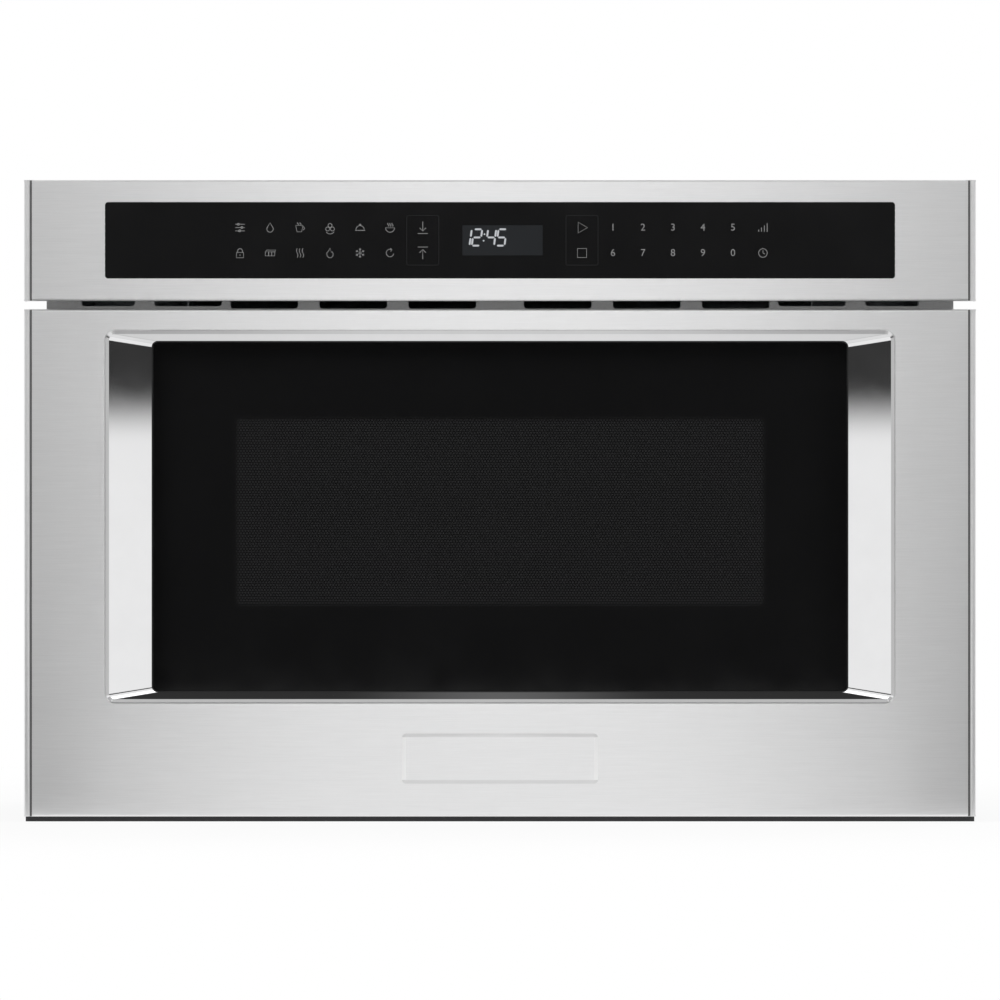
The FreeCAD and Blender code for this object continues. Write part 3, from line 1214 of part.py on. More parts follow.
def magnetron_fins():
    """Cooling fins pressed on the anode between the magnets."""
    low = waveguide_top + YOKE + MAGNET_HEIGHT
    span = YOKE_HEIGHT - 2 * (YOKE + MAGNET_HEIGHT)
    y = centred(magnetron_y, MAGNETRON_DEPTH - 2 * (YOKE + FIN_GAP))
    fins = []
    for number in range(FIN_COUNT):
        z = centred(low + span * (number + 0.5) / FIN_COUNT, FIN)
        hole = rod((0, magnetron_y, z[0]), Z_AXIS, ANODE_RADIUS, FIN)
        fins.append(block(centred(0, MAGNETRON_WIDTH), y, z).cut(hole))
    return group(*fins)


def transformer_core():
    """Laminated core of the high-voltage transformer, welded to a foot plate."""
    x = centred(transformer_x, CORE_WIDTH)
    y = centred(bay_middle, CORE_DEPTH)
    z = (PLATE + CORE_FLANGE, PLATE + CORE_FLANGE + CORE_HEIGHT)
    window_z = (z[0] + core_leg, z[1] - core_leg)
    windows = []
    for side in (-1, 1):
        windows.append(block(centred(transformer_x + side * 1.5 * core_leg, core_leg), y, window_z))
    foot = block(x, centred(bay_middle, CORE_DEPTH + 2 * COIL_OVERHANG), (PLATE, z[0]))
    return cut_away(fused(block(x, y, z), foot), *windows)


def transformer_coils():
    """Primary and secondary windings round the core's middle leg."""
    low = PLATE + CORE_FLANGE + core_leg
    height = (CORE_HEIGHT - 2 * core_leg - COIL_SPLIT) / 2
    x = centred(transformer_x, 4 * core_leg - 2 * SHIM)
    y = centred(bay_middle, CORE_DEPTH + 2 * COIL_OVERHANG)
    leg_x, leg_y = centred(transformer_x, 2 * core_leg), centred(bay_middle, CORE_DEPTH)
    coils = []
    for bottom in (low, low + height + COIL_SPLIT):
        z = (bottom, bottom + height)
        coils.append(block(x, y, z).cut(block(leg_x, leg_y, z)))
    return group(*coils)


def hv_capacitor():
    """High-voltage capacitor can with two blade terminals."""
    z = (PLATE, PLATE + CAPACITOR_HEIGHT)
    can = block(centred(capacitor_x, CAPACITOR_WIDTH), centred(bay_middle, CAPACITOR_DEPTH), z)
    upright = [edge for edge in can.Edges if edge.BoundBox.ZLength > CAPACITOR_HEIGHT / 2]
    can = can.makeFillet(CAPACITOR_DEPTH / 2 - SHIM, upright)
    blade_y, blade_z = centred(bay_middle, TERMINAL), (z[1], z[1] + TERMINAL_HEIGHT)
    places = centred(capacitor_x, CAPACITOR_WIDTH / 2)
    return fused(can, *[block(centred(x, TERMINAL_WIDTH), blade_y, blade_z) for x in places])


def fan_shroud():
    """Upright plate with a ring round the fan and struts for its motor."""
    centre = (fan_x, bay_middle, fan_z)
    plate_z = (PLATE, fan_z + fan_plate_side / 2)
    plate = block((fan_x, fan_x + FAN_PLATE), centred(bay_middle, fan_plate_side), plate_z)
    ring = rod(centre, X_AXIS, fan_ring, FAN_DEPTH)
    hole = rod(centre, X_AXIS, fan_ring - FAN_PLATE, FAN_DEPTH)
    strut_x = (fan_x + FAN_DEPTH, fan_motor_x)
    struts = block(strut_x, centred(bay_middle, FAN_STRUT), centred(fan_z, 2 * fan_ring))
    collar = rod((strut_x[0], bay_middle, fan_z), X_AXIS, FAN_MOTOR_RADIUS, FAN_MOTOR_GAP)
    clear = rod((strut_x[0], bay_middle, fan_z), X_AXIS, FAN_SHAFT + SEAT_GAP, FAN_MOTOR_GAP)
    return cut_away(fused(cut_away(fused(plate, ring), hole), struts, collar), clear)


def fan_motor():
    """Fan motor on the shroud's struts."""
    start = (fan_motor_x, bay_middle, fan_z)
    can = rod(start, X_AXIS, FAN_MOTOR_RADIUS, FAN_MOTOR_LENGTH)
    return can.cut(rod(start, X_AXIS, FAN_SHAFT + RUNNING, MOTOR_BORE_DEPTH + SEAT_GAP))


def fan_blade():
    """Axial fan: hub, pitched blades and the motor's shaft."""
    start = (fan_x + SEAT_GAP, bay_middle, fan_z)
    hub = rod(start, X_AXIS, FAN_HUB, fan_depth)
    shaft = rod(start, X_AXIS, FAN_SHAFT, fan_motor_x + MOTOR_BORE_DEPTH - start[0])
    middle = Vector(fan_x + FAN_DEPTH / 2, bay_middle, fan_z)
    blade_z = (fan_z + FAN_HUB / 2, fan_z + math.sqrt(FAN_RADIUS ** 2 - (fan_chord / 2) ** 2))
    blades = []
    for number in range(FAN_BLADES):
        blade = block(centred(middle.x, FAN_BLADE), centred(middle.y, fan_chord), blade_z)
        blade.rotate(middle, Z_AXIS, math.degrees(FAN_PITCH))
        blade.rotate(middle, X_AXIS, number * 360 / FAN_BLADES)
        blades.append(blade)
    return fused(hub, shaft, *blades)


def exhaust_duct():
    """Hood over the cavity that leads the warm air to the slit at the front."""
    z = (cavity_top, cavity_top + DUCT_HEIGHT)
    y = (0, cavity_rear)
    inner_half = duct_half - DUCT_WALL
    hollow = block((-inner_half, inner_half), y, (z[0], z[1] - DUCT_WALL))
    return block((-duct_half, duct_half), y, z).cut(hollow)


def noise_filter():
    """Mains filter board by the cord's inlet."""
    top = PLATE + FILTER_STANDOFF
    board_y = centred(bay_middle, FILTER_DEPTH)
    board = block(centred(filter_x, FILTER_WIDTH), board_y, (top, top + BOARD))
    posts = []
    for x in centred(filter_x, FILTER_WIDTH - 2 * STANDOFF_INSET):
        for y in centred(bay_middle, FILTER_DEPTH - 2 * STANDOFF_INSET):
            posts.append(rod((x, y, PLATE), Z_AXIS, STANDOFF_RADIUS, FILTER_STANDOFF))
    coils = []
    for y in centred(bay_middle, FILTER_COIL_SPACING):
        coils.append(rod((filter_x, y, top + BOARD), Z_AXIS, FILTER_COIL, FILTER_COIL_HEIGHT))
    return group(fused(board, *posts), *coils)


def oven_lamp():
    """Lamp on the cavity's left wall, with its lens in the wall's hole."""
    case_x = (-cavity_side - LAMP_DEPTH, -cavity_side)
    case = block(case_x, centred(LAMP_Y, LAMP_LENGTH), centred(side_parts_z, LAMP_HEIGHT))
    return fused(case, rod((-cavity_side, LAMP_Y, side_parts_z), X_AXIS, LAMP_LENS - SHIM, CAVITY_WALL))


def thermal_cutout():
    """Thermostat disc clipped to the cavity's right wall."""
    disc = rod((cavity_side, LAMP_Y, side_parts_z), X_AXIS, CUTOUT_RADIUS, CUTOUT_HEIGHT)
    plate_x = (cavity_side, cavity_side + CUTOUT_EAR)
    return fused(disc, block(plate_x, centred(LAMP_Y, CUTOUT_EARS), centred(side_parts_z, CUTOUT_RADIUS)))


def switch_body():
    """Right-hand interlock switch, bored for its plunger."""
    body = block(centred(hook_x, SWITCH_WIDTH), switch_y, centred(hook_z, SWITCH_HEIGHT))
    depth = plunger_tip + PLUNGER_LENGTH + PLUNGER_TRAVEL + SEAT_GAP - switch_front
    return body.cut(rod((hook_x, switch_front, hook_z), Y_AXIS, PLUNGER_RADIUS + RUNNING, depth))


def plunger():
    """Right-hand switch plunger behind the latch hook's tip."""
    return rod((hook_x, plunger_tip, hook_z), Y_AXIS, PLUNGER_RADIUS, PLUNGER_LENGTH)


def switch_holders():
    """Brackets behind the front frame that carry the interlock switches."""
    inner_x = hook_x - SWITCH_WIDTH / 2
    z = centred(hook_z, SWITCH_HEIGHT + 2 * HOLDER)
    side = block((inner_x - HOLDER, inner_x), (0, switch_y[1]), z)
    foot = block((inner_x - HOLDER - HOLDER_FOOT, inner_x), (0, HOLDER), z)
    shelf = block((inner_x - HOLDER, inner_x + SWITCH_WIDTH), switch_y, (z[0], z[0] + HOLDER))
    return both_sides(fused(side, foot, shelf))


NODES = {
    "base_plate": base_plate,
    "outer_cover": outer_cover,
    "rear_panel": rear_panel,
    "chassis_screws": chassis_screws,
    "cord_gland": cord_gland,
    "front_frame": front_frame,
    "vent_grille": vent_grille,
    "oven_cavity": oven_cavity,
    "mica_cover": mica_cover,
    "waveguide": waveguide,
    "antenna": antenna,
    "antenna_motor": antenna_motor,
    "magnetron_body": magnetron_body,
    "magnetron_fins": magnetron_fins,
    "transformer_core": transformer_core,
    "transformer_coils": transformer_coils,
    "hv_capacitor": hv_capacitor,
    "fan_shroud": fan_shroud,
    "fan_motor": fan_motor,
    "fan_blade": fan_blade,
    "exhaust_duct": exhaust_duct,
    "noise_filter": noise_filter,
    "oven_lamp": oven_lamp,
    "thermal_cutout": thermal_cutout,
    "control_fascia": control_fascia,
    "control_glass": control_glass,
    "touch_panel": touch_panel,
    "control_housing": control_housing,
    "display_module": display_module,
    "control_board": control_board,
    "switch_holders": switch_holders,
    "interlock_switches": lambda: both_sides(switch_body()),
    "plunger_right": plunger,
    "plunger_left": lambda: mirrored(plunger()),
    "rail_brackets": rail_brackets,
    "rail_outer": lambda: both_sides(rail_channel_outer()),
    "rail_inner": lambda: both_sides(rail_channel_inner()),
    "ball_cage_right": ball_cage,
    "ball_cage_left": lambda: mirrored(ball_cage()),
    "drive_bracket": drive_bracket,
    "drive_motor": drive_motor,
    "motor_pinion": motor_pinion,
    "drive_shaft": drive_shaft,
    "drive_gear": drive_gear,
    "drive_rack": drive_rack,
    "drawer_panel": drawer_panel,
    "recess_bezel": recess_bezel,
    "door_glass": lambda: door_pane(glass_front, glass_back),
    "window_screen": lambda: door_pane(glass_back, screen_back),
    "inner_window": lambda: door_pane(screen_back, inner_window_back),
    "door_frame": door_frame,
    "choke_frame": choke_frame,
    "choke_cover": choke_cover,
    "badge_plate": badge_plate,
    "drawer_pan": drawer_pan,
    "floor_plate": floor_plate,
    "drawer_arms": drawer_arms,
    "latch_hooks": latch_hooks,
    "door_screws": door_screws,
}


def main():
    os.makedirs("parts", exist_ok=True)
    for name, make in NODES.items():
        make().exportStep(os.path.join("parts", name + ".step"))


main()
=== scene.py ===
"""Looks of the microwave drawer.

A finish for every packed node, the marks on its control glass, and a studio.
"""

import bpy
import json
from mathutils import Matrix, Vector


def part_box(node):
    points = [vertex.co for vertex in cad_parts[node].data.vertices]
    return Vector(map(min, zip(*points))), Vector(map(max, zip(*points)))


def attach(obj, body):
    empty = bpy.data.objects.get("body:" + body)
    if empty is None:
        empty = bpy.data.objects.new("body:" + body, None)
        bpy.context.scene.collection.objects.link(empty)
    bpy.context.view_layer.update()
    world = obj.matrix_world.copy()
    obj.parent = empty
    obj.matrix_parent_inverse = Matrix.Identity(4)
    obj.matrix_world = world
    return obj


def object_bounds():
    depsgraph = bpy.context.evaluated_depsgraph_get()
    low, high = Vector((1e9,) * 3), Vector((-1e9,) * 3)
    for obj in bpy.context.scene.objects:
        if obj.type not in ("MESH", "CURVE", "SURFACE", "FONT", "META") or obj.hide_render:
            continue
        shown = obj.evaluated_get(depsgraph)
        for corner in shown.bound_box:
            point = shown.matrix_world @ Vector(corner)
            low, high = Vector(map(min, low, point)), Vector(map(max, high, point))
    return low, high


bl_info = {
    "name": "Microwave drawer looks",
    "version": (1, 0, 0),
    "blender": (4, 5, 0),
    "location": "View3D > Sidebar > Microwave",
    "description": "Finishes, key marks, clock and studio for the packed microwave drawer",
    "category": "Object",
}

import json
import math
from typing import NamedTuple

import bpy
from bpy.props import FloatProperty, FloatVectorProperty, PointerProperty, StringProperty
from mathutils import Vector

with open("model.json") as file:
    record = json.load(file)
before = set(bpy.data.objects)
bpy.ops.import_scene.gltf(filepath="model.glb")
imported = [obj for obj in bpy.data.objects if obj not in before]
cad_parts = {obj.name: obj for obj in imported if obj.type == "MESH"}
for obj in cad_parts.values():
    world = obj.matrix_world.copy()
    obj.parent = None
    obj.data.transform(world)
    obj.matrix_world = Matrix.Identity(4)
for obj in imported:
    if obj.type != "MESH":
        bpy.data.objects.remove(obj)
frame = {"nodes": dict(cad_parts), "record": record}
CAD_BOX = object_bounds()

GLASS_LOW, GLASS_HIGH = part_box("control_glass")
DISPLAY_LOW, DISPLAY_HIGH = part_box("display_module")
KEYS_FACE = GLASS_LOW.y
KEYS_MIDDLE = (GLASS_LOW.z + GLASS_HIGH.z) / 2
FRONT_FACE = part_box("drawer_panel")[0].y
SLOT_COLOURS = {row["slot"]: row["base_color"][:3] for row in frame["record"]["materials"]}
SLOT_COLOURS["grey_paint"] = (0.36, 0.36, 0.36)  # painted shade: darker than in the record, as in the photo, for the shade inside the vent slit
SLOT_NODES = {slot: [] for slot in SLOT_COLOURS}
for row in frame["record"]["subparts"]:
    SLOT_NODES[row["material_slot"]].append(row["node"])

UPRIGHT = math.radians(90)
FLAT = (0.0, 0.0, 0.0)
STANDING = (UPRIGHT, 0.0, 0.0)
SIDEWAYS = (UPRIGHT, 0.0, UPRIGHT)
WHITE = (1.0, 1.0, 1.0, 1.0)
FLOAT = "NodeSocketFloat"


# Settings

def colour(label, description, default):
    """Colour setting."""
    return FloatVectorProperty(
        name=label, description=description, default=default, subtype="COLOR", size=3, min=0.0, max=1.0)


def length(label, description, default):
    """Length setting in metres."""
    return FloatProperty(
        name=label, description=description, default=default, subtype="DISTANCE", unit="LENGTH", precision=5)


def share(label, description, default):
    """Setting between nothing and all."""
    return FloatProperty(
        name=label, description=description, default=default, subtype="FACTOR", min=0.0, max=1.0)


def power(label, description, default):
    """Light setting in watts."""
    return FloatProperty(name=label, description=description, default=default, unit="POWER", min=0.0)


class FrontSettings(bpy.types.PropertyGroup):
    """Steel, bezel and glass of the front."""

    steel: colour("Steel", "Brushed sheet of the front", (0.86, 0.86, 0.862))
    steel_roughness: share("Steel roughness", "Blur of reflections in the brushed sheet", 0.37)
    badge_rim: length("Badge rim", "Bevel round the bare badge plate", 0.002)
    # Painted shade: darkening of the badge's bevels above and below, standing in for how light falls on them.
    etching: share("Badge rim shade", "Darkening of the bevel above and below the plate", 0.12)
    bezel: colour("Bezel", "Polished slope round the glass", (0.80, 0.80, 0.805))
    glass: colour("Glass", "Black glass of the door", (0.0053, 0.0053, 0.0055))
    control_glass: colour("Control glass", "Black glass of the control panel", (0.0073, 0.0073, 0.0075))
    display_field: colour("Display field", "Smoked part of the control glass", (0.019, 0.0203, 0.022))
    window: colour(
        "Window dots", "Light dots where the screen shows in the door glass", (0.0172, 0.0172, 0.0176))
    window_width: length("Window width", "Part of the door glass that shows the screen", 0.3424)
    window_height: length("Window height", "Part of the door glass that shows the screen", 0.1247)
    window_centre: length("Window centre", "Height of the window's centre", 0.1806)
    window_fade: length("Window fade", "Soft edge of the window", 0.006)
    screen_pitch: length("Screen pitch", "Distance between holes of the screen", 0.0019)
    # Painted shade: a dark strip set in the groove beside each side bead stands in for the groove's shadow.
    seal: colour("Painted groove shade", "Dark strip in the groove beside each bead", (0.09, 0.09, 0.09))
    seal_inset: length("Shade inset", "Middle of the strip from the front's side", 0.00439)
    seal_width: length("Shade width", "Width of the strip", 0.00118)
    seal_sink: length("Shade sink", "Face of the strip behind the front's face", 0.00065)
    seal_depth: length("Shade depth", "Depth of the strip", 0.0006)


class KeypadSettings(bpy.types.PropertyGroup):
    """Marks on the control glass."""

    first_key: length("First key", "Left-hand column of symbols, from the centre line", -0.1655)
    first_digit: length("First digit", "Left-hand column of digits, from the centre line", 0.0719)
    pitch: length("Key pitch", "Distance between columns", 0.0191)
    row_gap: length("Row gap", "Distance between the two rows", 0.0162)
    symbol_height: length("Symbol height", "Height of a key symbol", 0.0060)
    main_height: length("Main symbol height", "Height of a symbol in a box", 0.0080)
    digit_height: length("Digit height", "Height of a key digit", 0.0046)
    stroke: length("Stroke", "Width of the symbols' lines", 0.00048)
    box_stroke: length("Box stroke", "Width of the boxes' lines", 0.00045)
    box_width: length("Box width", "Width of the box round two main keys", 0.0204)
    box_height: length("Box height", "Height of the box round two main keys", 0.0316)
    box_radius: length("Box radius", "Corners of the box round two main keys", 0.0012)
    ink: length("Ink", "Thickness of the print", 0.00006)
    ink_colour: colour("Ink colour", "Print of digits and symbols", (0.19, 0.19, 0.19))
    box_colour: colour("Box colour", "Print of the boxes", (0.013, 0.013, 0.0133))
    time: StringProperty(name="Time", description="Four digits that the clock shows", default="1245")
    time_height: length("Time height", "Height of the clock's digits", 0.0104)
    time_colour: colour("Time colour", "Lit segments", (0.38, 0.39, 0.41))


class StudioSettings(bpy.types.PropertyGroup):
    """Camera, floor and light."""

    distance: length("Camera distance", "Camera ahead of the front", 8.0)
    picture_width: length("Picture width", "What the picture spans at the front", 0.6366)
    height: length("Camera height", "Height of the camera", 0.1883)
    floor: colour("Floor", "Pale floor", (0.86, 0.86, 0.86))
    ambient: share("Ambient", "Light from all round on matt surfaces", 0.55)
    key_power: power("Key light", "Soft light from the upper left", 48.0)
    fill_power: power("Fill light", "Soft light from the right", 26.0)
    rear_power: power("Rear light", "Soft light from behind", 34.0)


# Node trees

def add(tree, kind, inputs=None, **settings):
    """New node. Each input is a socket to link or a plain value."""
    node = tree.nodes.new(kind)
    for key, value in settings.items():
        setattr(node, key, value)
    for key, value in (inputs or {}).items():
        if isinstance(value, bpy.types.NodeSocket):
            tree.links.new(value, node.inputs[key])
        else:
            node.inputs[key].default_value = value
    return node


def maths(tree, operation, *values):
    """Result of a Math node."""
    return add(tree, "ShaderNodeMath", dict(enumerate(values)), operation=operation).outputs[0]


def vectors(tree, operation, inputs):
    """Vector Math node."""
    return add(tree, "ShaderNodeVectorMath", inputs, operation=operation)


def ranged(tree, value, start, end, low, high, kind="LINEAR"):
    """Value mapped from one range to another."""
    limits = {"Value": value, "From Min": start, "From Max": end, "To Min": low, "To Max": high}
    return add(tree, "ShaderNodeMapRange", limits, interpolation_type=kind).outputs["Result"]


def blended(tree, part, first, second):
    """Colour between two colours."""
    return add(tree, "ShaderNodeMix", {0: part, 6: first, 7: second}, data_type="RGBA").outputs[2]


def opaque(value):
    """Colour with its alpha."""
    return (*value, 1.0)


def even(value):
    """The same value along all axes."""
    return (value, value, value)


def own_place(tree):
    """Place on the object itself."""
    return add(tree, "ShaderNodeTexCoord").outputs["Object"]


def noise(tree, place, repeats, detail):
    """Noise over a place."""
    return add(tree, "ShaderNodeTexNoise", {"Vector": place, "Scale": repeats, "Detail": detail})


def shared(build):
    """Node group that a function makes, built at its first use and kept under the function's name."""
    return bpy.data.node_groups.get(build.__name__) or build()


def effect(name, inputs, outputs):
    """Empty shader node group with named sockets, its input node and its output node."""
    tree = bpy.data.node_groups.new(name, "ShaderNodeTree")
    for label, kind, default in inputs:
        tree.interface.new_socket(label, in_out="INPUT", socket_type=kind).default_value = default
    for label, kind in outputs:
        tree.interface.new_socket(label, in_out="OUTPUT", socket_type=kind)
    return tree, tree.nodes.new("NodeGroupInput"), tree.nodes.new("NodeGroupOutput")


SURFACE_INPUTS = [
    ("Colour", "NodeSocketColor", (0.5, 0.5, 0.5, 1.0)),
    ("Contrast", FLOAT, 0.05),
    ("Roughness", FLOAT, 0.4),
    ("Spread", FLOAT, 0.05),
]
SURFACE_OUTPUTS = [("Colour", "NodeSocketColor"), ("Roughness", FLOAT), ("Height", FLOAT)]


def surface_results(tree, given, results, value):
    """Joins a pattern value, about zero, to the colour, roughness and height of a surface group."""
    tone = maths(tree, "MULTIPLY_ADD", value, given.outputs["Contrast"], 1.0)
    tinted = vectors(tree, "SCALE", {0: given.outputs["Colour"], "Scale": tone})
    rough = maths(tree, "MULTIPLY_ADD", value, given.outputs["Spread"], given.outputs["Roughness"])
    tree.links.new(tinted.outputs[0], results.inputs["Colour"])
    tree.links.new(rough, results.inputs["Roughness"])
    tree.links.new(value, results.inputs["Height"])


# Patterns: repeats are counted per metre
NOISE_SPAN = (0.3, 0.7)  # values of a noise that a pattern stretches to its whole range
COARSE_REPEATS = 0.17  # coarse grain against the fine one
COARSE_WEIGHT = 0.3
RIPPLE_REACH = 0.006  # bend of the crystal cells' edges, in metres
FROST_WEIGHT = 0.5  # fine noise inside the crystal cells
ROW_HEIGHT = math.sqrt(0.75)  # rows of staggered holes against their pitch
HOLE_SOFTNESS = 0.15  # soft edge of a hole against its radius
WEAR_FACING = 0.8  # agreement of rounded and plain normal at a full edge
WEAR_PATCHES = (0.4, 0.65)  # noise between least and full wear
WEAR_LEAST = 0.2


def surface_grain():
    """Noise in two sizes: drawn lines where the repeats differ by axis, and else an even texture."""
    repeats = ("Repeats", "NodeSocketVector", even(500.0))
    tree, given, results = effect("surface_grain", [*SURFACE_INPUTS, repeats], SURFACE_OUTPUTS)
    scaled = {0: own_place(tree), 1: given.outputs["Repeats"]}
    fine_place = vectors(tree, "MULTIPLY", scaled).outputs[0]
    shrunk = {0: fine_place, "Scale": COARSE_REPEATS}
    coarse_place = vectors(tree, "SCALE", shrunk).outputs[0]
    values = []
    for place in (fine_place, coarse_place):
        spread = noise(tree, place, repeats=1.0, detail=3.0).outputs[0]
        values.append(ranged(tree, spread, *NOISE_SPAN, -1.0, 1.0))
    fine, coarse = values
    surface_results(tree, given, results, maths(tree, "MULTIPLY_ADD", coarse, COARSE_WEIGHT, fine))
    return tree


def zinc_spangle():
    """Crystal cells of a zinc coating or of layered mica."""
    repeats = ("Repeats", FLOAT, 120.0)
    tree, given, results = effect("zinc_spangle", [*SURFACE_INPUTS, repeats], SURFACE_OUTPUTS)
    place = own_place(tree)
    ripple = noise(tree, place, repeats=60.0, detail=2.0)
    bent = {0: ripple.outputs["Color"], 1: even(RIPPLE_REACH), 2: place}
    bent_place = vectors(tree, "MULTIPLY_ADD", bent).outputs[0]
    cells = add(tree, "ShaderNodeTexVoronoi", {"Vector": bent_place, "Scale": given.outputs["Repeats"]})
    split = add(tree, "ShaderNodeSeparateColor", {0: cells.outputs["Color"]})
    feathers = noise(tree, bent_place, repeats=900.0, detail=3.0)
    frost = ranged(tree, feathers.outputs[0], *NOISE_SPAN, -FROST_WEIGHT, FROST_WEIGHT)
    value = maths(tree, "ADD", ranged(tree, split.outputs[0], 0.0, 1.0, -1.0, 1.0), frost)
    surface_results(tree, given, results, value)
    return tree


def hole_lattice():
    """Mask of staggered round holes in an upright sheet that faces the front."""
    inputs = [("Pitch", FLOAT, 0.002), ("Hole", FLOAT, 0.6)]
    tree, given, results = effect("hole_lattice", inputs, [("Mask", FLOAT)])
    axes = add(tree, "ShaderNodeSeparateXYZ", {0: own_place(tree)}).outputs
    pitch = given.outputs["Pitch"]
    across = maths(tree, "DIVIDE", axes["X"], pitch)
    level = maths(tree, "DIVIDE", axes["Z"], maths(tree, "MULTIPLY", pitch, ROW_HEIGHT))
    shift = maths(tree, "MULTIPLY", maths(tree, "FLOORED_MODULO", maths(tree, "FLOOR", level), 2.0), 0.5)
    off_x = maths(tree, "SUBTRACT", maths(tree, "FRACT", maths(tree, "ADD", across, shift)), 0.5)
    off_z = maths(tree, "MULTIPLY", maths(tree, "SUBTRACT", maths(tree, "FRACT", level), 0.5), ROW_HEIGHT)
    squares = maths(tree, "MULTIPLY_ADD", off_x, off_x, maths(tree, "MULTIPLY", off_z, off_z))
    radius = maths(tree, "MULTIPLY", given.outputs["Hole"], 0.5)
    reach = maths(tree, "DIVIDE", maths(tree, "SQRT", squares), radius)
    mask = ranged(tree, reach, 1.0 - HOLE_SOFTNESS, 1.0 + HOLE_SOFTNESS, 1.0, 0.0, "SMOOTHSTEP")
    tree.links.new(mask, results.inputs["Mask"])
    return tree


def worn_edge():
    """Mask that rises along the edges of a shape."""
    inputs = [("Width", FLOAT, 0.0008)]
    tree, given, results = effect("worn_edge", inputs, [("Mask", FLOAT)])
    rounded = add(tree, "ShaderNodeBevel", {"Radius": given.outputs["Width"]}, samples=4)
    plain = add(tree, "ShaderNodeNewGeometry")
    facing = {0: rounded.outputs[0], 1: plain.outputs["Normal"]}
    alike = vectors(tree, "DOT_PRODUCT", facing).outputs["Value"]
    patches = noise(tree, own_place(tree), repeats=90.0, detail=4.0)
    edge = ranged(tree, alike, 1.0, WEAR_FACING, 0.0, 1.0)
    worn = ranged(tree, patches.outputs[0], *WEAR_PATCHES, WEAR_LEAST, 1.0)
    tree.links.new(maths(tree, "MULTIPLY", edge, worn), results.inputs["Mask"])
    return tree


# Finishes

BUMP_HEIGHT = 0.0002
WORN_TONE = 1.25  # bare metal at a worn edge against the coating's colour
WORN_SHARE = 0.6
METAL = {"Metallic": 1.0}
VARNISHED = {"Metallic": 0.6}
CERAMIC = {"IOR": 1.52, "Coat_Weight": 0.3}
GLASS_IOR = 1.5
BLACK_GLASS = {"IOR": GLASS_IOR, "Specular_IOR_Level": 0.4}
CLEAR_TINT = (0.9, 0.95, 0.93)
SOLDER = (0.6, 0.58, 0.5, 1.0)
PAD_PITCH = 0.00254
PAD_SHARE = 0.45  # solder pad against its pitch
SCREEN_HOLE = 0.62  # hole of the screen against its pitch
WINDOW_DOT = 0.72  # dot in the door glass against its pitch
FIELD_FADE = 0.0006  # soft edge of the display's field


class Surface(NamedTuple):
    """Pattern of a finish: repeats per metre, swing of colour and roughness, and strength of its bump."""

    repeats: object
    contrast: float
    roughness: float
    spread: float
    bump: float


def new_finish(name, **plain):
    """Material with values on its shader's own sockets, underscores standing for spaces."""
    material = bpy.data.materials.new(name)
    material.use_nodes = True
    shader = material.node_tree.nodes["Principled BSDF"]
    for socket, value in plain.items():
        shader.inputs[socket.replace("_", " ")].default_value = value
    return material, material.node_tree, shader


def covered(name, group, tint, surface, **plain):
    """Finish with a surface group on its colour, roughness and normal: material, tree, shader and colour."""
    material, tree, shader = new_finish(name, **plain)
    pattern = add(tree, "ShaderNodeGroup", {
        "Colour": opaque(tint), "Repeats": surface.repeats, "Contrast": surface.contrast,
        "Roughness": surface.roughness, "Spread": surface.spread}, node_tree=shared(group))
    tree.links.new(pattern.outputs["Colour"], shader.inputs["Base Color"])
    tree.links.new(pattern.outputs["Roughness"], shader.inputs["Roughness"])
    relief = add(tree, "ShaderNodeBump", {
        "Strength": surface.bump, "Distance": BUMP_HEIGHT, "Height": pattern.outputs["Height"]})
    tree.links.new(relief.outputs[0], shader.inputs["Normal"])
    return material, tree, shader, pattern.outputs["Colour"]


def grain_finish(name, tint, surface, **plain):
    """Finish with one grain all over."""
    return covered(name, surface_grain, tint, surface, **plain)[0]


def spangle_finish(name, tint, surface, **plain):
    """Finish with crystal cells and brighter worn edges."""
    material, tree, shader, coating = covered(name, zinc_spangle, tint, surface, **plain)
    edge = add(tree, "ShaderNodeGroup", node_tree=shared(worn_edge))
    bare = opaque([min(1.0, WORN_TONE * value) for value in tint])
    worn = blended(tree, maths(tree, "MULTIPLY", edge.outputs[0], WORN_SHARE), coating, bare)
    tree.links.new(worn, shader.inputs["Base Color"])
    return material


def dots(tree, pitch, size):
    """Mask of staggered dots, their size as a share of their pitch."""
    values = {"Pitch": pitch, "Hole": size}
    return add(tree, "ShaderNodeGroup", values, node_tree=shared(hole_lattice)).outputs[0]


def inside_box(tree, limits_x, limits_z, fade):
    """Mask of an upright rectangle with soft edges."""
    axes = add(tree, "ShaderNodeSeparateXYZ", {0: own_place(tree)}).outputs
    masks = []
    for axis, (low, high) in (("X", limits_x), ("Z", limits_z)):
        middle, half = (low + high) / 2, (high - low) / 2
        off = maths(tree, "ABSOLUTE", maths(tree, "SUBTRACT", axes[axis], middle))
        masks.append(ranged(tree, off, half - fade, half, 1.0, 0.0, "SMOOTHSTEP"))
    return maths(tree, "MULTIPLY", *masks)


def dress(material, *names):
    """Gives a finish to packed nodes."""
    for name in names:
        for holder in frame["nodes"][name].material_slots:
            holder.material = material


def only(piece):
    """Leaves one object selected and active."""
    bpy.ops.object.select_all(action="DESELECT")
    piece.select_set(True)
    bpy.context.view_layer.objects.active = piece


def edit_all():
    """Opens the active mesh with everything selected."""
    bpy.ops.object.mode_set(mode="EDIT")
    bpy.ops.mesh.select_all(action="SELECT")


def settle(piece, name, material, body):
    """Names a piece, puts its place into its mesh, and joins it to a body and a slot."""
    only(piece)
    bpy.ops.object.transform_apply()
    piece.name = piece.data.name = name
    piece.data.materials.clear()
    piece.data.materials.append(material)
    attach(piece, body)


def copied(piece, place, turn=FLAT):
    """Copy of a piece, with its own mesh, at its place."""
    only(piece)
    bpy.ops.object.duplicate()
    copy = bpy.context.object
    copy.location = place
    copy.rotation_euler = turn
    bpy.ops.object.transform_apply()
    return copy


def remove(piece):
    """Deletes an object that was only a pattern for copies."""
    only(piece)
    bpy.ops.object.delete()


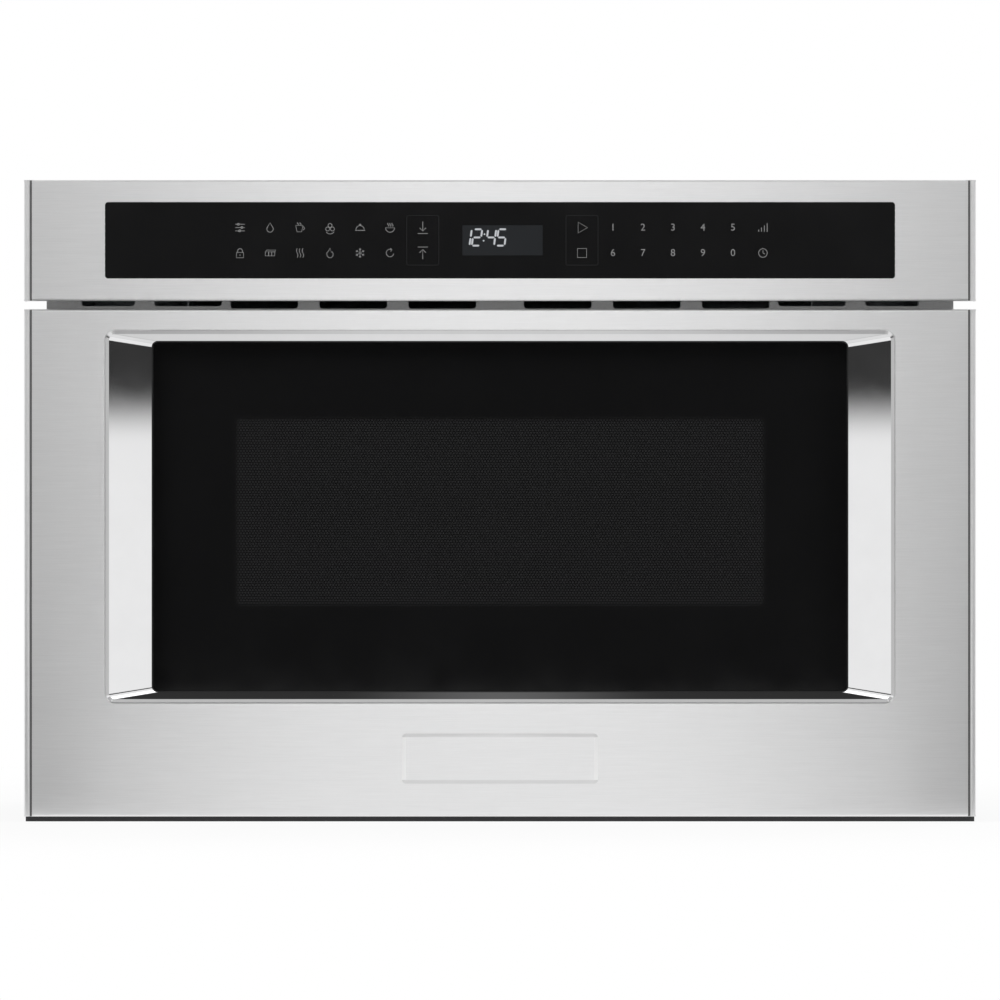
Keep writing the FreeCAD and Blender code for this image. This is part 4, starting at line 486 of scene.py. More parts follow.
def join_pieces(pieces):
    """Makes one object of several."""
    only(pieces[0])
    for piece in pieces:
        piece.select_set(True)
    bpy.ops.object.join()
    return bpy.context.object


class MICROWAVE_OT_front_steel(bpy.types.Operator):
    """Brushed sheet of drawer front, control panel and badge plate, with a painted highlight and painted
    shade on the badge's rim, and the polished bezel
    """

    bl_idname = "microwave.front_steel"
    bl_label = "Front steel"

    def brushed(self, name, front):
        """Finish with level brush lines that stretch reflections upwards."""
        lines = Surface(
            repeats=(45.0, 2600.0, 2600.0), contrast=0.025, roughness=front.steel_roughness, spread=0.03,
            bump=0.04)
        material = grain_finish(
            name, front.steel, lines, Anisotropic=0.75, Anisotropic_Rotation=0.25, **METAL)
        tree = material.node_tree
        along = add(tree, "ShaderNodeTangent", direction_type="RADIAL", axis="Z")
        tree.links.new(along.outputs[0], tree.nodes["Principled BSDF"].inputs["Tangent"])
        return material

    def execute(self, context):
        front = context.scene.microwave_front
        dress(self.brushed("brushed_front_steel", front), "drawer_panel", "control_fascia")

        badge = self.brushed("badge_steel", front)
        tree = badge.node_tree
        base = tree.nodes["Principled BSDF"].inputs["Base Color"]
        low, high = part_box("badge_plate")
        rim = front.badge_rim
        soft = rim / 4
        all_across, all_up = (low.x - rim, high.x + rim), (low.z - rim, high.z + rim)
        between_ends = inside_box(tree, (low.x + rim, high.x - rim), all_up, soft)
        between_edges = inside_box(tree, all_across, (low.z + rim, high.z - rim), soft)
        # Painted light on the badge's rim: the bevels at both ends are painted white as a highlight, and the
        # bevels above and below are painted darker as shade.
        polished = blended(tree, between_ends, WHITE, base.links[0].from_socket)
        painted_rim_shade = opaque([(1.0 - front.etching) * value for value in front.steel])
        tree.links.new(blended(tree, between_edges, painted_rim_shade, polished), base)
        dress(badge, "badge_plate")

        mirror = Surface(repeats=even(70.0), contrast=0.012, roughness=0.022, spread=0.004, bump=0.0)
        dress(grain_finish("polished_bezel_steel", front.bezel, mirror, **METAL), "recess_bezel")
        return {"FINISHED"}


class MICROWAVE_OT_edge_seals(bpy.types.Operator):
    """Dark strips in the grooves between the front's sheets and their side beads: painted shade that stands
    in for the shadow in each groove
    """

    bl_idname = "microwave.edge_seals"
    bl_label = "Painted groove shades"

    def bar(self, size, bevel):
        """Bar with bevelled edges at the origin."""
        bpy.ops.mesh.primitive_cube_add(size=1.0)
        edit_all()
        bpy.ops.transform.resize(value=size)
        bpy.ops.mesh.bevel(offset=bevel, segments=2)
        bpy.ops.object.mode_set(mode="OBJECT")
        return bpy.context.object

    def execute(self, context):
        front = context.scene.microwave_front
        # The strips are painted shade: dark bars that stand in for the shadow in the grooves.
        shade_grain = Surface(repeats=even(1500.0), contrast=0.2, roughness=0.5, spread=0.06, bump=0.2)
        material = grain_finish("painted_groove_shade", front.seal, shade_grain)
        thickness = front.seal_depth
        depth = FRONT_FACE + front.seal_sink + thickness / 2
        for node, body in (("drawer_panel", "drawer"), ("control_fascia", "chassis")):
            low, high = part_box(node)
            strip = self.bar((front.seal_width, thickness, high.z - low.z - thickness), thickness / 4)
            across = high.x - front.seal_inset
            middle = (low.z + high.z) / 2
            shade_strips = join_pieces([copied(strip, (side * across, depth, middle)) for side in (-1, 1)])
            settle(shade_strips, f"{node}_seals", material, body)
            remove(strip)
        return {"FINISHED"}


class MICROWAVE_OT_door_glass(bpy.types.Operator):
    """Black door glass with the screen's dots, the screen behind it and the clear inner window"""

    bl_idname = "microwave.door_glass"
    bl_label = "Door glass"

    def execute(self, context):
        front = context.scene.microwave_front
        polish = Surface(repeats=even(30.0), contrast=0.05, roughness=0.035, spread=0.01, bump=0.0)
        material, tree, shader, plain = covered(
            "door_black_glass", surface_grain, front.glass, polish, **BLACK_GLASS)
        half_width, half_height = front.window_width / 2, front.window_height / 2
        limits = (front.window_centre - half_height, front.window_centre + half_height)
        window = inside_box(tree, (-half_width, half_width), limits, front.window_fade)
        lit = maths(tree, "MULTIPLY", window, dots(tree, front.screen_pitch, WINDOW_DOT))
        tree.links.new(blended(tree, lit, plain, opaque(front.window)), shader.inputs["Base Color"])
        dress(material, "door_glass")

        enamel = Surface(repeats=even(1500.0), contrast=0.2, roughness=0.5, spread=0.06, bump=0.1)
        material, tree, shader, _ = covered(
            "screen_black_enamel", surface_grain, SLOT_COLOURS["perforated_steel"], enamel)
        holes = dots(tree, front.screen_pitch, SCREEN_HOLE)
        tree.links.new(maths(tree, "SUBTRACT", 1.0, holes), shader.inputs["Alpha"])
        dress(material, "window_screen")

        clear = Surface(repeats=even(40.0), contrast=0.01, roughness=0.03, spread=0.015, bump=0.0)
        dress(grain_finish(
            "inner_clear_glass", CLEAR_TINT, clear, Transmission_Weight=1.0, IOR=GLASS_IOR), "inner_window")
        return {"FINISHED"}


class MICROWAVE_OT_control_glass(bpy.types.Operator):
    """Black control glass with a smoked field over the display, and what lies behind it"""

    bl_idname = "microwave.control_glass"
    bl_label = "Control glass"

    def execute(self, context):
        front = context.scene.microwave_front
        polish = Surface(repeats=even(30.0), contrast=0.05, roughness=0.04, spread=0.012, bump=0.0)
        material, tree, shader, plain = covered(
            "control_black_glass", surface_grain, front.control_glass, polish, **BLACK_GLASS)
        limits_x, limits_z = (DISPLAY_LOW.x, DISPLAY_HIGH.x), (DISPLAY_LOW.z, DISPLAY_HIGH.z)
        field = inside_box(tree, limits_x, limits_z, FIELD_FADE)
        tree.links.new(blended(tree, field, plain, opaque(front.display_field)), shader.inputs["Base Color"])
        dress(material, "control_glass")

        smoked = Surface(repeats=even(400.0), contrast=0.08, roughness=0.25, spread=0.05, bump=0.02)
        dress(grain_finish("smoked_display", SLOT_COLOURS["display"], smoked), "display_module")

        resist = Surface(repeats=even(700.0), contrast=0.12, roughness=0.35, spread=0.05, bump=0.05)
        material, tree, shader, plain = covered(
            "green_circuit_board", surface_grain, SLOT_COLOURS["circuit_board"], resist)
        soldered = blended(tree, dots(tree, PAD_PITCH, PAD_SHARE), plain, SOLDER)
        tree.links.new(soldered, shader.inputs["Base Color"])
        dress(material, "control_board", "noise_filter", "touch_panel")
        return {"FINISHED"}


class TableStep:
    """Step that dresses the nodes of material slots.

    A row is a maker, a name, a slot, a pattern with Surface's five values, and values for the shader.
    """

    def execute(self, context):
        for make, name, slot, pattern, plain in self.finishes:
            dress(make(name, SLOT_COLOURS[slot], Surface(*pattern), **plain), *SLOT_NODES[slot])
        return {"FINISHED"}


class MICROWAVE_OT_case_finish(TableStep, bpy.types.Operator):
    """Zinc-coated sheet, plastic, paint and screws of the chassis"""

    bl_idname = "microwave.case_finish"
    bl_label = "Case finish"
    finishes = [
        (spangle_finish, "galvanised_case_sheet", "galvanised_steel", (170, 0.07, 0.40, 0.06, 0.05), METAL),
        (grain_finish, "moulded_black_plastic", "black_plastic", (even(1800), 0.25, 0.48, 0.08, 0.35), {}),
        # The grey paint's colour is darkened as painted shade for the slit it sits in.
        (grain_finish, "shaded_grey_vent_paint", "grey_paint", (even(900), 0.04, 0.42, 0.05, 0.15), {}),
        (grain_finish, "zinc_plated_screws", "screw_steel", (even(1400), 0.10, 0.30, 0.08, 0.1), METAL),
    ]


class MICROWAVE_OT_drawer_finish(TableStep, bpy.types.Operator):
    """Oven chamber, rails, plate and gears that show with the drawer open"""

    bl_idname = "microwave.drawer_finish"
    bl_label = "Drawer finish"
    finishes = [
        (grain_finish, "satin_oven_steel", "oven_steel", ((900, 30, 900), 0.06, 0.33, 0.05, 0.06), METAL),
        (grain_finish, "bright_rail_zinc", "rail_steel", ((1800, 20, 1800), 0.06, 0.26, 0.05, 0.05), METAL),
        (grain_finish, "white_floor_ceramic", "ceramic_glass", (even(1100), 0.05, 0.14, 0.04, 0.02), CERAMIC),
        (grain_finish, "natural_nylon", "nylon", (even(500), 0.04, 0.42, 0.06, 0.08), {}),
        (spangle_finish, "layered_mica", "mica", (160, 0.14, 0.5, 0.1, 0.05), {}),
    ]


class MICROWAVE_OT_works_finish(TableStep, bpy.types.Operator):
    """Motors, magnetron, transformer and switches inside the case"""

    bl_idname = "microwave.works_finish"
    bl_label = "Works finish"
    finishes = [
        (grain_finish, "bare_aluminium", "aluminium", ((30, 1200, 1200), 0.06, 0.34, 0.06, 0.05), METAL),
        (spangle_finish, "zinc_motor_shells", "motor_steel", (240, 0.08, 0.36, 0.06, 0.05), METAL),
        (grain_finish, "varnished_core_sheets", "core_iron", ((8, 2000, 8), 0.5, 0.5, 0.1, 0.4), VARNISHED),
        (grain_finish, "enamelled_copper_wire", "copper", ((10, 10, 1200), 0.35, 0.3, 0.08, 0.6), METAL),
        (grain_finish, "moulded_switch_plastic", "switch_plastic", (even(1300), 0.10, 0.42, 0.06, 0.2), {}),
    ]


# Marks on the control glass

WELD_SHARE = 1 / 20  # points closer than this share of a stroke's width are joined
ARC_STEPS = 10
RING_STEPS = 16
CORNER_STEPS = 4
WAVE_REACH = 0.16  # swing of a wavy line to each side
FLAKE_ARMS = 6


def draw_lines(lines, width, thickness):
    """Flat raised strokes on the control glass, along lines of points across and up."""
    bpy.ops.mesh.primitive_plane_add(size=width)
    bpy.ops.object.mode_set(mode="EDIT")
    bpy.ops.mesh.delete(type="VERT")
    for line in lines:
        points = [Vector((x, KEYS_FACE, z)) for x, z in line]
        bpy.ops.mesh.primitive_plane_add(size=width, location=points[0])
        bpy.ops.mesh.merge(type="CENTER")
        for start, end in zip(points, points[1:]):
            bpy.ops.mesh.extrude_region_move(TRANSFORM_OT_translate={"value": end - start})
        bpy.ops.mesh.select_all(action="DESELECT")
    bpy.ops.mesh.select_all(action="SELECT")
    bpy.ops.mesh.remove_doubles(threshold=width * WELD_SHARE)
    bpy.ops.object.mode_set(mode="OBJECT")
    bpy.ops.object.convert(target="CURVE")
    curve = bpy.context.object.data
    curve.bevel_depth = width / 2
    curve.bevel_resolution = 1
    curve.use_fill_caps = True
    bpy.ops.object.convert(target="MESH")
    edit_all()
    bpy.ops.transform.resize(value=(1.0, 2 * thickness / width, 1.0), center_override=(0.0, KEYS_FACE, 0.0))
    bpy.ops.object.mode_set(mode="OBJECT")
    return bpy.context.object


def arc(x, z, radius, start, end, steps=ARC_STEPS):
    """Points on an arc, angles in degrees from the right, anticlockwise."""
    angles = [math.radians(start + (end - start) * step / steps) for step in range(steps + 1)]
    return [(x + radius * math.cos(angle), z + radius * math.sin(angle)) for angle in angles]


def ring(x, z, radius):
    """Points on a closed circle."""
    return arc(x, z, radius, 0, 360, RING_STEPS)


def wave(x, low, high):
    """Points on an upright wavy line."""
    parts = [step / ARC_STEPS for step in range(ARC_STEPS + 1)]
    return [(x + WAVE_REACH * math.sin(2 * math.pi * part), low + (high - low) * part) for part in parts]


def turned(line, angle):
    """Points of a line turned about the symbol's centre, angle in degrees."""
    cos, sin = math.cos(math.radians(angle)), math.sin(math.radians(angle))
    return [(cos * x - sin * z, sin * x + cos * z) for x, z in line]


def closed(*points):
    """Corner points that come back to the first."""
    return [*points, points[0]]


def flake_arms(*lines):
    """Lines repeated in every direction of a snowflake."""
    return [turned(line, 360 / FLAKE_ARMS * number) for number in range(FLAKE_ARMS) for line in lines]


# Symbols on a field from -1 to 1. Each is a list of lines.
SYMBOLS = {
    "sliders": [
        [(-1, 0.7), (1, 0.7)], ring(-0.35, 0.7, 0.22), [(-1, 0), (1, 0)], ring(0.4, 0, 0.22),
        [(-1, -0.7), (1, -0.7)], ring(-0.1, -0.7, 0.22)],
    "drop": [[(0, 1), *arc(0, -0.3, 0.68, 150, 390, 16), (0, 1)]],
    "cup": [
        closed((-0.9, 0.45), (-0.65, -0.9), (0.35, -0.9), (0.6, 0.45)), arc(0.55, -0.15, 0.36, 75, -80, 8),
        wave(-0.45, 0.62, 1.05), wave(0.1, 0.62, 1.05)],
    "kernels": [
        ring(0, 0.45, 0.42), ring(-0.5, -0.3, 0.42), ring(0.5, -0.3, 0.42), arc(0, -0.35, 1.0, 215, 325)],
    "cloche": [
        [(-1.05, -0.6), (1.05, -0.6)], arc(0, -0.45, 0.86, 0, 180, 14), ring(0, 0.58, 0.15)],
    "bowl": [
        closed(*arc(0, -0.05, 0.95, 180, 360, 14)), wave(-0.4, 0.25, 0.95), wave(0.05, 0.25, 0.95),
        wave(0.5, 0.25, 0.95)],
    "lock": [
        closed((-0.75, -1), (0.75, -1), (0.75, 0.1), (-0.75, 0.1)),
        [(-0.5, 0.1), *arc(0, 0.42, 0.5, 180, 0, 12), (0.5, 0.1)], [(0, -0.3), (0, -0.6)]],
    "block": [
        closed((-1, -0.6), (1, -0.6), (1, 0.25), (-1, 0.25)),
        [(-1, 0.25), (-0.7, 0.6), (1.2, 0.6), (1, 0.25)],
        [(-0.3, -0.6), (-0.3, 0.25)], [(0.35, -0.6), (0.35, 0.25)]],
    "waves": [wave(-0.6, -0.95, 0.95), wave(0, -0.95, 0.95), wave(0.6, -0.95, 0.95)],
    "flame": [
        closed((0, 1.05), (-0.3, 0.45), (-0.7, 0), (-0.62, -0.6), (-0.25, -1), (0.25, -1), (0.62, -0.6),
               (0.66, -0.1), (0.4, 0.3), (0.25, 0.1))],
    "flake": flake_arms([(0, 0), (0, 1)], [(-0.24, 0.86), (0, 0.6), (0.24, 0.86)]),
    "again": [arc(0, 0, 0.8, 60, 350, 18), [(0.05, 0.98), (0.42, 0.7), (0.12, 0.33)]],
    "out": [[(0, 0.95), (0, -0.55)], [(-0.5, -0.05), (0, -0.55), (0.5, -0.05)],
            [(-0.8, -0.95), (0.8, -0.95)]],
    "in": [[(0, -0.95), (0, 0.55)], [(-0.5, 0.05), (0, 0.55), (0.5, 0.05)], [(-0.8, 0.95), (0.8, 0.95)]],
    "go": [closed((-0.62, -0.85), (0.88, 0), (-0.62, 0.85))],
    "halt": [closed((-0.72, -0.72), (0.72, -0.72), (0.72, 0.72), (-0.72, 0.72))],
    "steps": [[(x, -0.9), (x, -0.45 + 0.45 * number)] for number, x in enumerate((-0.9, -0.3, 0.3, 0.9))],
    "clock": [ring(0, 0, 0.92), [(0, 0.55), (0, 0), (0.42, -0.2)]],
}
UPPER_KEYS = ["sliders", "drop", "cup", "kernels", "cloche", "bowl"]
LOWER_KEYS = ["lock", "block", "waves", "flame", "flake", "again"]
DIGIT_ROWS = ["12345", "67890"]
LEFT_BOX = 6.09  # left-hand box after the first symbol, counted in columns
RIGHT_BOX = 1.03  # right-hand box before the first digit, counted in columns
FONT_SIZE = 1.38  # size of the font against the height of its digits


def key_rows(keypad):
    """Heights of the upper and the lower row."""
    return KEYS_MIDDLE + keypad.row_gap / 2, KEYS_MIDDLE - keypad.row_gap / 2


def box_places(keypad):
    """Centres across of the two boxed pairs of keys."""
    return keypad.first_key + LEFT_BOX * keypad.pitch, keypad.first_digit - RIGHT_BOX * keypad.pitch


def placed_symbol(name, x, z, size):
    """Lines of a symbol at its place."""
    half = size / 2
    return [[(x + half * across, z + half * up) for across, up in line] for line in SYMBOLS[name]]


def ink_finish(name, tint):
    """Matt screen print."""
    print_grain = Surface(repeats=even(2500.0), contrast=0.08, roughness=0.55, spread=0.05, bump=0.05)
    return grain_finish(name, tint, print_grain, Specular_IOR_Level=0.15)


class MICROWAVE_OT_key_symbols(bpy.types.Operator):
    """Printed symbols of the keys"""

    bl_idname = "microwave.key_symbols"
    bl_label = "Key symbols"

    def execute(self, context):
        keypad = context.scene.microwave_keypad
        upper, lower = key_rows(keypad)
        left_box, right_box = box_places(keypad)
        last = keypad.first_digit + len(DIGIT_ROWS[0]) * keypad.pitch
        main_keys = [
            ("out", left_box, upper), ("in", left_box, lower),
            ("go", right_box, upper), ("halt", right_box, lower)]
        keys = [("steps", last, upper), ("clock", last, lower)]
        for row, z in ((UPPER_KEYS, upper), (LOWER_KEYS, lower)):
            keys += [(name, keypad.first_key + number * keypad.pitch, z) for number, name in enumerate(row)]
        lines = []
        for places, size in ((main_keys, keypad.main_height), (keys, keypad.symbol_height)):
            for name, x, z in places:
                lines += placed_symbol(name, x, z, size)
        piece = draw_lines(lines, keypad.stroke, keypad.ink)
        settle(piece, "key_symbols", ink_finish("grey_key_ink", keypad.ink_colour), "chassis")
        return {"FINISHED"}


class MICROWAVE_OT_key_boxes(bpy.types.Operator):
    """Thin boxes round the two pairs of main keys"""

    bl_idname = "microwave.key_boxes"
    bl_label = "Key boxes"

    def execute(self, context):
        keypad = context.scene.microwave_keypad
        half_width, half_height = keypad.box_width / 2, keypad.box_height / 2
        radius = keypad.box_radius
        high, low = KEYS_MIDDLE + half_height - radius, KEYS_MIDDLE - half_height + radius
        lines = []
        for x in box_places(keypad):
            right, left = x + half_width - radius, x - half_width + radius
            points = []
            for number, corner in enumerate(((right, high), (left, high), (left, low), (right, low))):
                points += arc(*corner, radius, 90 * number, 90 * number + 90, CORNER_STEPS)
            lines.append(closed(*points))
        piece = draw_lines(lines, keypad.box_stroke, keypad.ink)
        settle(piece, "key_boxes", ink_finish("dark_box_ink", keypad.box_colour), "chassis")
        return {"FINISHED"}


class MICROWAVE_OT_key_digits(bpy.types.Operator):
    """Printed digits of the number keys"""

    bl_idname = "microwave.key_digits"
    bl_label = "Key digits"

    def execute(self, context):
        keypad = context.scene.microwave_keypad
        pieces = []
        for row, digits in zip(key_rows(keypad), DIGIT_ROWS):
            for number, digit in enumerate(digits):
                place = (keypad.first_digit + number * keypad.pitch, KEYS_FACE, row)
                bpy.ops.object.text_add(location=place, rotation=STANDING)
                text = bpy.context.object.data
                text.body = digit
                text.align_x = text.align_y = "CENTER"
                text.size = keypad.digit_height * FONT_SIZE
                text.extrude = keypad.ink
                bpy.ops.object.convert(target="MESH")
                bpy.ops.object.transform_apply()
                pieces.append(bpy.context.object)
        joined = join_pieces(pieces)
        edit_all()
        bpy.ops.mesh.remove_doubles(threshold=keypad.ink / 10)
        bpy.ops.object.mode_set(mode="OBJECT")
        ink = ink_finish("grey_digit_ink", keypad.ink_colour)
        settle(joined, "key_digits", ink, "chassis")
        return {"FINISHED"}


# Lit segments of each digit: top, upper right, lower right, bottom, lower left, upper left, middle
SEGMENTS = {
    "0": "abcdef", "1": "bc", "2": "abdeg", "3": "abcdg", "4": "bcfg",
    "5": "acdfg", "6": "acdefg", "7": "abc", "8": "abcdefg", "9": "abcdfg",
}
# Centre of each segment on a digit one unit high and half a unit wide, and whether it stands upright
SEGMENT_PLACES = {
    "a": (0.0, 0.5, False), "b": (0.25, 0.25, True), "c": (0.25, -0.25, True), "d": (0.0, -0.5, False),
    "e": (-0.25, -0.25, True), "f": (-0.25, 0.25, True), "g": (0.0, 0.0, False),
}
# Sizes and places on the clock against the height of its digits
BAR_LENGTH = 0.43
BAR_WIDTH = 0.11
BAR_CUT = 0.45  # cut corner against the bar's width
DIGIT_STEP = 0.64
DIGIT_START = 0.28  # first digit's centre from the display's side
COLON_ROOM = 0.22
DOT_SIZE = 0.12
DOT_RISE = 0.2
CLOCK_LEAN = math.radians(8)
CLOCK_RISE = 0.0018  # digits above the display's middle, in metres
CLOCK_GLOW = 0.25


class MICROWAVE_OT_clock(bpy.types.Operator):
    """Lit segments of the clock"""

    bl_idname = "microwave.clock"
    bl_label = "Clock"

    def segment(self, reach, width, thickness):
        """One bar with cut corners, lying level at the origin."""
        bpy.ops.mesh.primitive_plane_add(size=1.0, rotation=STANDING)
        bpy.ops.object.transform_apply()
        edit_all()
        bpy.ops.transform.resize(value=(reach, 1.0, width))
        bpy.ops.mesh.bevel(offset=width * BAR_CUT, affect="VERTICES")
        bpy.ops.mesh.extrude_region_move(TRANSFORM_OT_translate={"value": (0.0, -thickness, 0.0)})
        bpy.ops.mesh.select_all(action="SELECT")
        bpy.ops.mesh.normals_make_consistent()
        bpy.ops.object.mode_set(mode="OBJECT")
        return bpy.context.object

    def execute(self, context):
        keypad = context.scene.microwave_keypad
        height = keypad.time_height
        slope = math.tan(CLOCK_LEAN)
        middle = (DISPLAY_LOW.z + DISPLAY_HIGH.z) / 2 + CLOCK_RISE
        bar = self.segment(height * BAR_LENGTH, height * BAR_WIDTH, keypad.ink)
        step = height * DIGIT_STEP
        first = DISPLAY_LOW.x + height * DIGIT_START
        pieces = []
        for number, digit in enumerate(keypad.time):
            x = first + number * step + (number > 1) * height * COLON_ROOM
            for letter in SEGMENTS[digit]:
                across, up, upright = SEGMENT_PLACES[letter]
                place = (x + (across + up * slope) * height, KEYS_FACE, middle + up * height)
                turn = (0.0, CLOCK_LEAN - UPRIGHT if upright else 0.0, 0.0)
                pieces.append(copied(bar, place, turn))
        dot = self.segment(height * DOT_SIZE, height * DOT_SIZE, keypad.ink)
        colon = first + 1.5 * step + height * COLON_ROOM / 2
        for up in (-DOT_RISE, DOT_RISE):
            pieces.append(copied(dot, (colon + up * slope * height, KEYS_FACE, middle + up * height)))
        remove(bar)
        remove(dot)
        joined = join_pieces(pieces)
        material = ink_finish("lit_clock_segments", keypad.time_colour)
        shader = material.node_tree.nodes["Principled BSDF"]
        shader.inputs["Emission Color"].default_value = opaque(keypad.time_colour)
        shader.inputs["Emission Strength"].default_value = CLOCK_GLOW
        settle(joined, "clock_segments", material, "chassis")
        return {"FINISHED"}


# Studio

GROUND = CAD_BOX[0].z
SENSOR = 36.0
FLOOR_RADIUS = 40.0
FLOOR_SIDES = 64
FLOOR_FADE = (0.3, 1.6)  # distances between which the floor turns plain white
FLOOR_NEAR = 0.85  # plain white in the near floor
LAMP_TARGET = (0.0, 0.1, 0.2)


def seen_by(tree):
    """Share that is one for camera, glossy and transmission rays."""
    path = add(tree, "ShaderNodeLightPath").outputs
    near = maths(tree, "MAXIMUM", path["Is Camera Ray"], path["Is Glossy Ray"])
    return maths(tree, "MAXIMUM", near, path["Is Transmission Ray"])


def bare_material(name):
    """Material with no nodes yet, and its tree."""
    material, tree, _ = new_finish(name)
    tree.nodes.clear()
    return material, tree


def shade_card(name, size, place, turn, tone, fade=None):
    """Card that only reflections see.

    A fade is an axis, two distances from its zero and a brightness: the card has that brightness up to the
    first distance and its own tone from the second on.
    """
    bpy.ops.mesh.primitive_plane_add(size=1.0, rotation=turn, location=place)
    card = bpy.context.object
    card.scale = (*size, 1.0)
    bpy.ops.object.transform_apply()
    card.name = name
    material, tree = bare_material(name)
    glow = add(tree, "ShaderNodeEmission", {"Color": opaque(even(tone))})
    if fade:
        axis, start, end, bright = fade
        along = add(tree, "ShaderNodeSeparateXYZ", {0: own_place(tree)}).outputs[axis]
        level = ranged(tree, maths(tree, "ABSOLUTE", along), start, end, bright, tone, "SMOOTHSTEP")
        tree.links.new(level, glow.inputs["Color"])
    add(tree, "ShaderNodeOutputMaterial", {"Surface": glow.outputs[0]})
    card.data.materials.append(material)
    for kind in ("camera", "diffuse", "shadow", "transmission", "volume_scatter"):
        setattr(card, f"visible_{kind}", False)


def soft_lamp(name, place, size, watts):
    """Square area lamp that faces the part and doesn't show in reflections."""
    way = Vector(LAMP_TARGET) - Vector(place)
    turn = way.to_track_quat("-Z", "Y").to_euler()
    bpy.ops.object.light_add(type="AREA", location=place, rotation=turn)
    lamp = bpy.context.object
    lamp.name = name
    lamp.data.energy = watts
    lamp.data.size = size
    lamp.visible_glossy = False


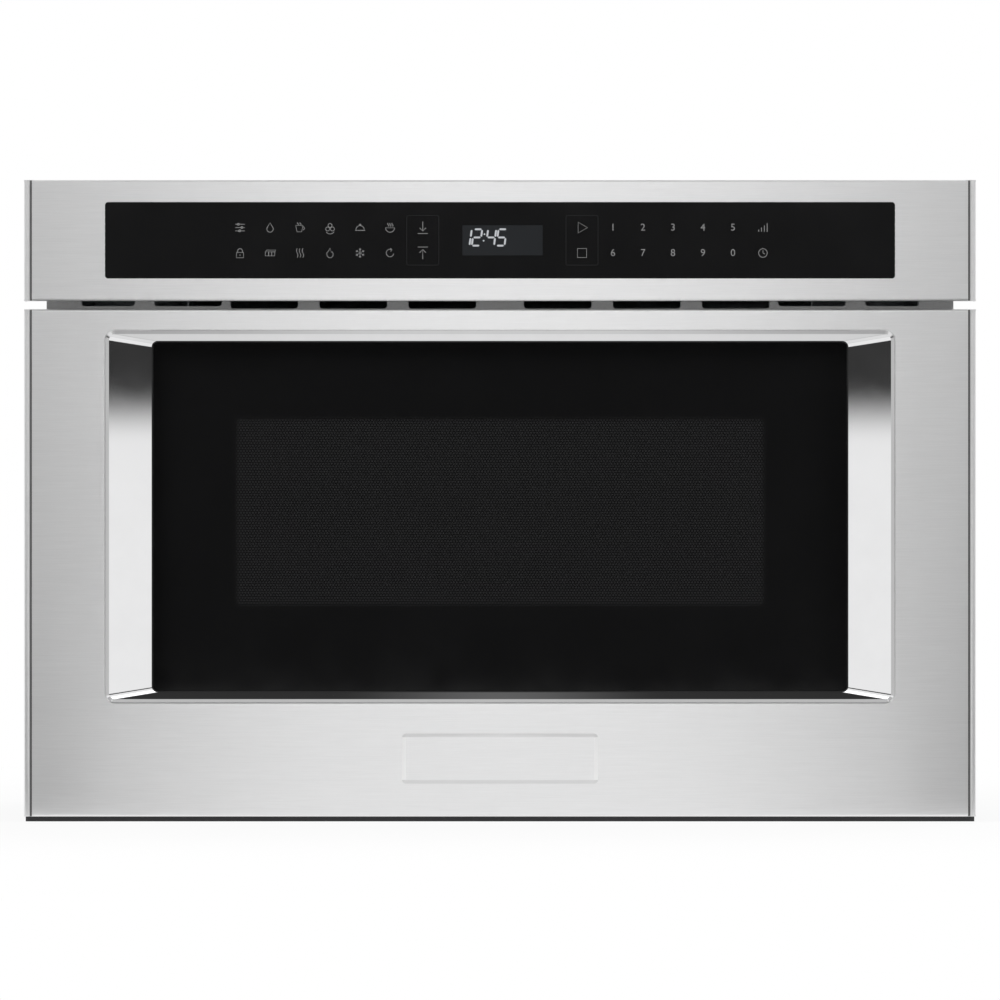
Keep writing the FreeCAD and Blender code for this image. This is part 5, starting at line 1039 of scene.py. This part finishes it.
class MICROWAVE_OT_studio(bpy.types.Operator):
    """Camera, pale floor, white surroundings, soft lamps and cards for the reflections"""

    bl_idname = "microwave.studio"
    bl_label = "Studio"

    def make_camera(self, studio):
        """Level camera on the centre line."""
        place = (0.0, FRONT_FACE - studio.distance, studio.height)
        bpy.ops.object.camera_add(location=place, rotation=STANDING)
        camera = bpy.context.object
        camera.data.sensor_width = SENSOR
        camera.data.lens = SENSOR * studio.distance / studio.picture_width
        bpy.context.scene.camera = camera

    def make_world(self, studio):
        """Surroundings that are white to look at and dimmer as a light."""
        world = bpy.data.worlds.new("white_surroundings")
        world.use_nodes = True
        tree = world.node_tree
        tree.nodes.clear()
        dim = add(tree, "ShaderNodeBackground", {"Color": WHITE, "Strength": studio.ambient})
        white = add(tree, "ShaderNodeBackground", {"Color": WHITE, "Strength": 1.0})
        both = add(tree, "ShaderNodeMixShader", {0: seen_by(tree), 1: dim.outputs[0], 2: white.outputs[0]})
        add(tree, "ShaderNodeOutputWorld", {"Surface": both.outputs[0]})
        bpy.context.scene.world = world

    def make_floor(self, studio):
        """Round floor with the shadow near the part, plain white further off."""
        bpy.ops.mesh.primitive_circle_add(
            vertices=FLOOR_SIDES, radius=FLOOR_RADIUS, fill_type="NGON", location=(0.0, 0.0, GROUND))
        floor = bpy.context.object
        bpy.ops.object.transform_apply()
        floor.name = "pale_floor"
        material, tree = bare_material("pale_floor")
        matt = add(tree, "ShaderNodeBsdfDiffuse", {"Color": opaque(studio.floor)})
        white = add(tree, "ShaderNodeEmission", {"Color": WHITE})
        reach = vectors(tree, "LENGTH", {0: own_place(tree)}).outputs["Value"]
        fade = ranged(tree, reach, *FLOOR_FADE, FLOOR_NEAR, 1.0, "SMOOTHSTEP")
        shown = maths(tree, "MULTIPLY", fade, seen_by(tree))
        both = add(tree, "ShaderNodeMixShader", {0: shown, 1: matt.outputs[0], 2: white.outputs[0]})
        add(tree, "ShaderNodeOutputMaterial", {"Surface": both.outputs[0]})
        floor.data.materials.append(material)

    def make_cards(self, studio):
        """Dark and light cards that shape the reflections in steel and glass."""
        beside_camera = FRONT_FACE - studio.distance + 0.2
        # Name, size, place, turn and tone of each card, and its fade if it has one
        cards = [
            ("camera_card", (0.9, 0.58), (0.0, FRONT_FACE - 5.0, GROUND + 0.2905), STANDING, 0.02),
            ("softbox", (2.4, 1.2), (0.0, -2.4, 1.06), STANDING, 0.52, ("X", 0.0, 0.55, 2.15)),
            ("floor_card", (2.4, 2.35), (0.0, -1.225, GROUND + 0.002), FLAT, 0.09, ("X", 0.10, 0.40, 0.88)),
            ("sill_card", (0.9, 0.3), (0.0, -1.2, 1.03), STANDING, 0.6),
            ("upper_card", (1.2, 0.7), (0.0, -0.40, 1.5), FLAT, 0.035, ("X", 0.0, 0.13, 0.14)),
            ("slope_card", (0.53, 0.08), (0.0, -0.14, GROUND + 0.004), FLAT, 0.76, ("X", 0.05, 0.30, 0.87)),
            ("lip_card", (0.50, 0.10), (0.0, -0.435, GROUND + 0.004), FLAT, 0.46, ("X", 0.05, 0.27, 0.72)),
        ]
        for side, name in ((-1, "left"), (1, "right")):
            cards += [
                (f"{name}_edge_card", (0.9, 0.47), (side * 0.8, -2.4, GROUND + 0.236), STANDING, 0.12),
                (f"{name}_outer_card", (0.4, 1.2), (side * 0.76, -1.2, 0.6), STANDING, 0.6),
                (f"{name}_reveal_card", (0.4, 0.35), (side * 1.37, beside_camera, 0.425), STANDING, 0.04,
                 ("Z", 0.26, 0.335, 1.0)),
                (f"{name}_wall_card", (2.4, 1.8), (side * 2.5, 0.0, 0.9), SIDEWAYS, 0.5),
            ]
        for card in cards:
            shade_card(*card)

    def execute(self, context):
        studio = context.scene.microwave_studio
        context.scene.view_settings.view_transform = "Standard"
        self.make_camera(studio)
        self.make_world(studio)
        self.make_floor(studio)
        self.make_cards(studio)
        for name, place, size, watts in (
            ("key_lamp", (-1.6, -2.2, 2.2), 1.6, studio.key_power),
            ("fill_lamp", (2.2, -1.4, 1.4), 1.4, studio.fill_power),
            ("rear_lamp", (0.6, 2.6, 2.2), 1.6, studio.rear_power),
        ):
            soft_lamp(name, place, size, watts)
        return {"FINISHED"}


OPERATORS = [
    MICROWAVE_OT_front_steel,
    MICROWAVE_OT_edge_seals,
    MICROWAVE_OT_door_glass,
    MICROWAVE_OT_control_glass,
    MICROWAVE_OT_case_finish,
    MICROWAVE_OT_drawer_finish,
    MICROWAVE_OT_works_finish,
    MICROWAVE_OT_key_symbols,
    MICROWAVE_OT_key_boxes,
    MICROWAVE_OT_key_digits,
    MICROWAVE_OT_clock,
    MICROWAVE_OT_studio,
]
SETTINGS = {
    "microwave_front": FrontSettings,
    "microwave_keypad": KeypadSettings,
    "microwave_studio": StudioSettings,
}


class MICROWAVE_PT_looks(bpy.types.Panel):
    """Settings and steps of the looks"""

    bl_idname = "MICROWAVE_PT_looks"
    bl_label = "Microwave drawer"
    bl_space_type = "VIEW_3D"
    bl_region_type = "UI"
    bl_category = "Microwave"

    def draw(self, context):
        for name, kind in SETTINGS.items():
            box = self.layout.box()
            box.label(text=kind.__doc__)
            for label in kind.__annotations__:
                box.prop(getattr(context.scene, name), label)
        for step in OPERATORS:
            self.layout.operator(step.bl_idname)


CLASSES = [*SETTINGS.values(), *OPERATORS, MICROWAVE_PT_looks]


def register():
    for kind in CLASSES:
        bpy.utils.register_class(kind)
    for name, kind in SETTINGS.items():
        setattr(bpy.types.Scene, name, PointerProperty(type=kind))


def unregister():
    for name in SETTINGS:
        delattr(bpy.types.Scene, name)
    for kind in reversed(CLASSES):
        bpy.utils.unregister_class(kind)


def main():
    """Run every step."""
    register()
    for step in OPERATORS:
        group, name = step.bl_idname.split(".")
        getattr(getattr(bpy.ops, group), name)()


if __name__ == "__main__":
    main()
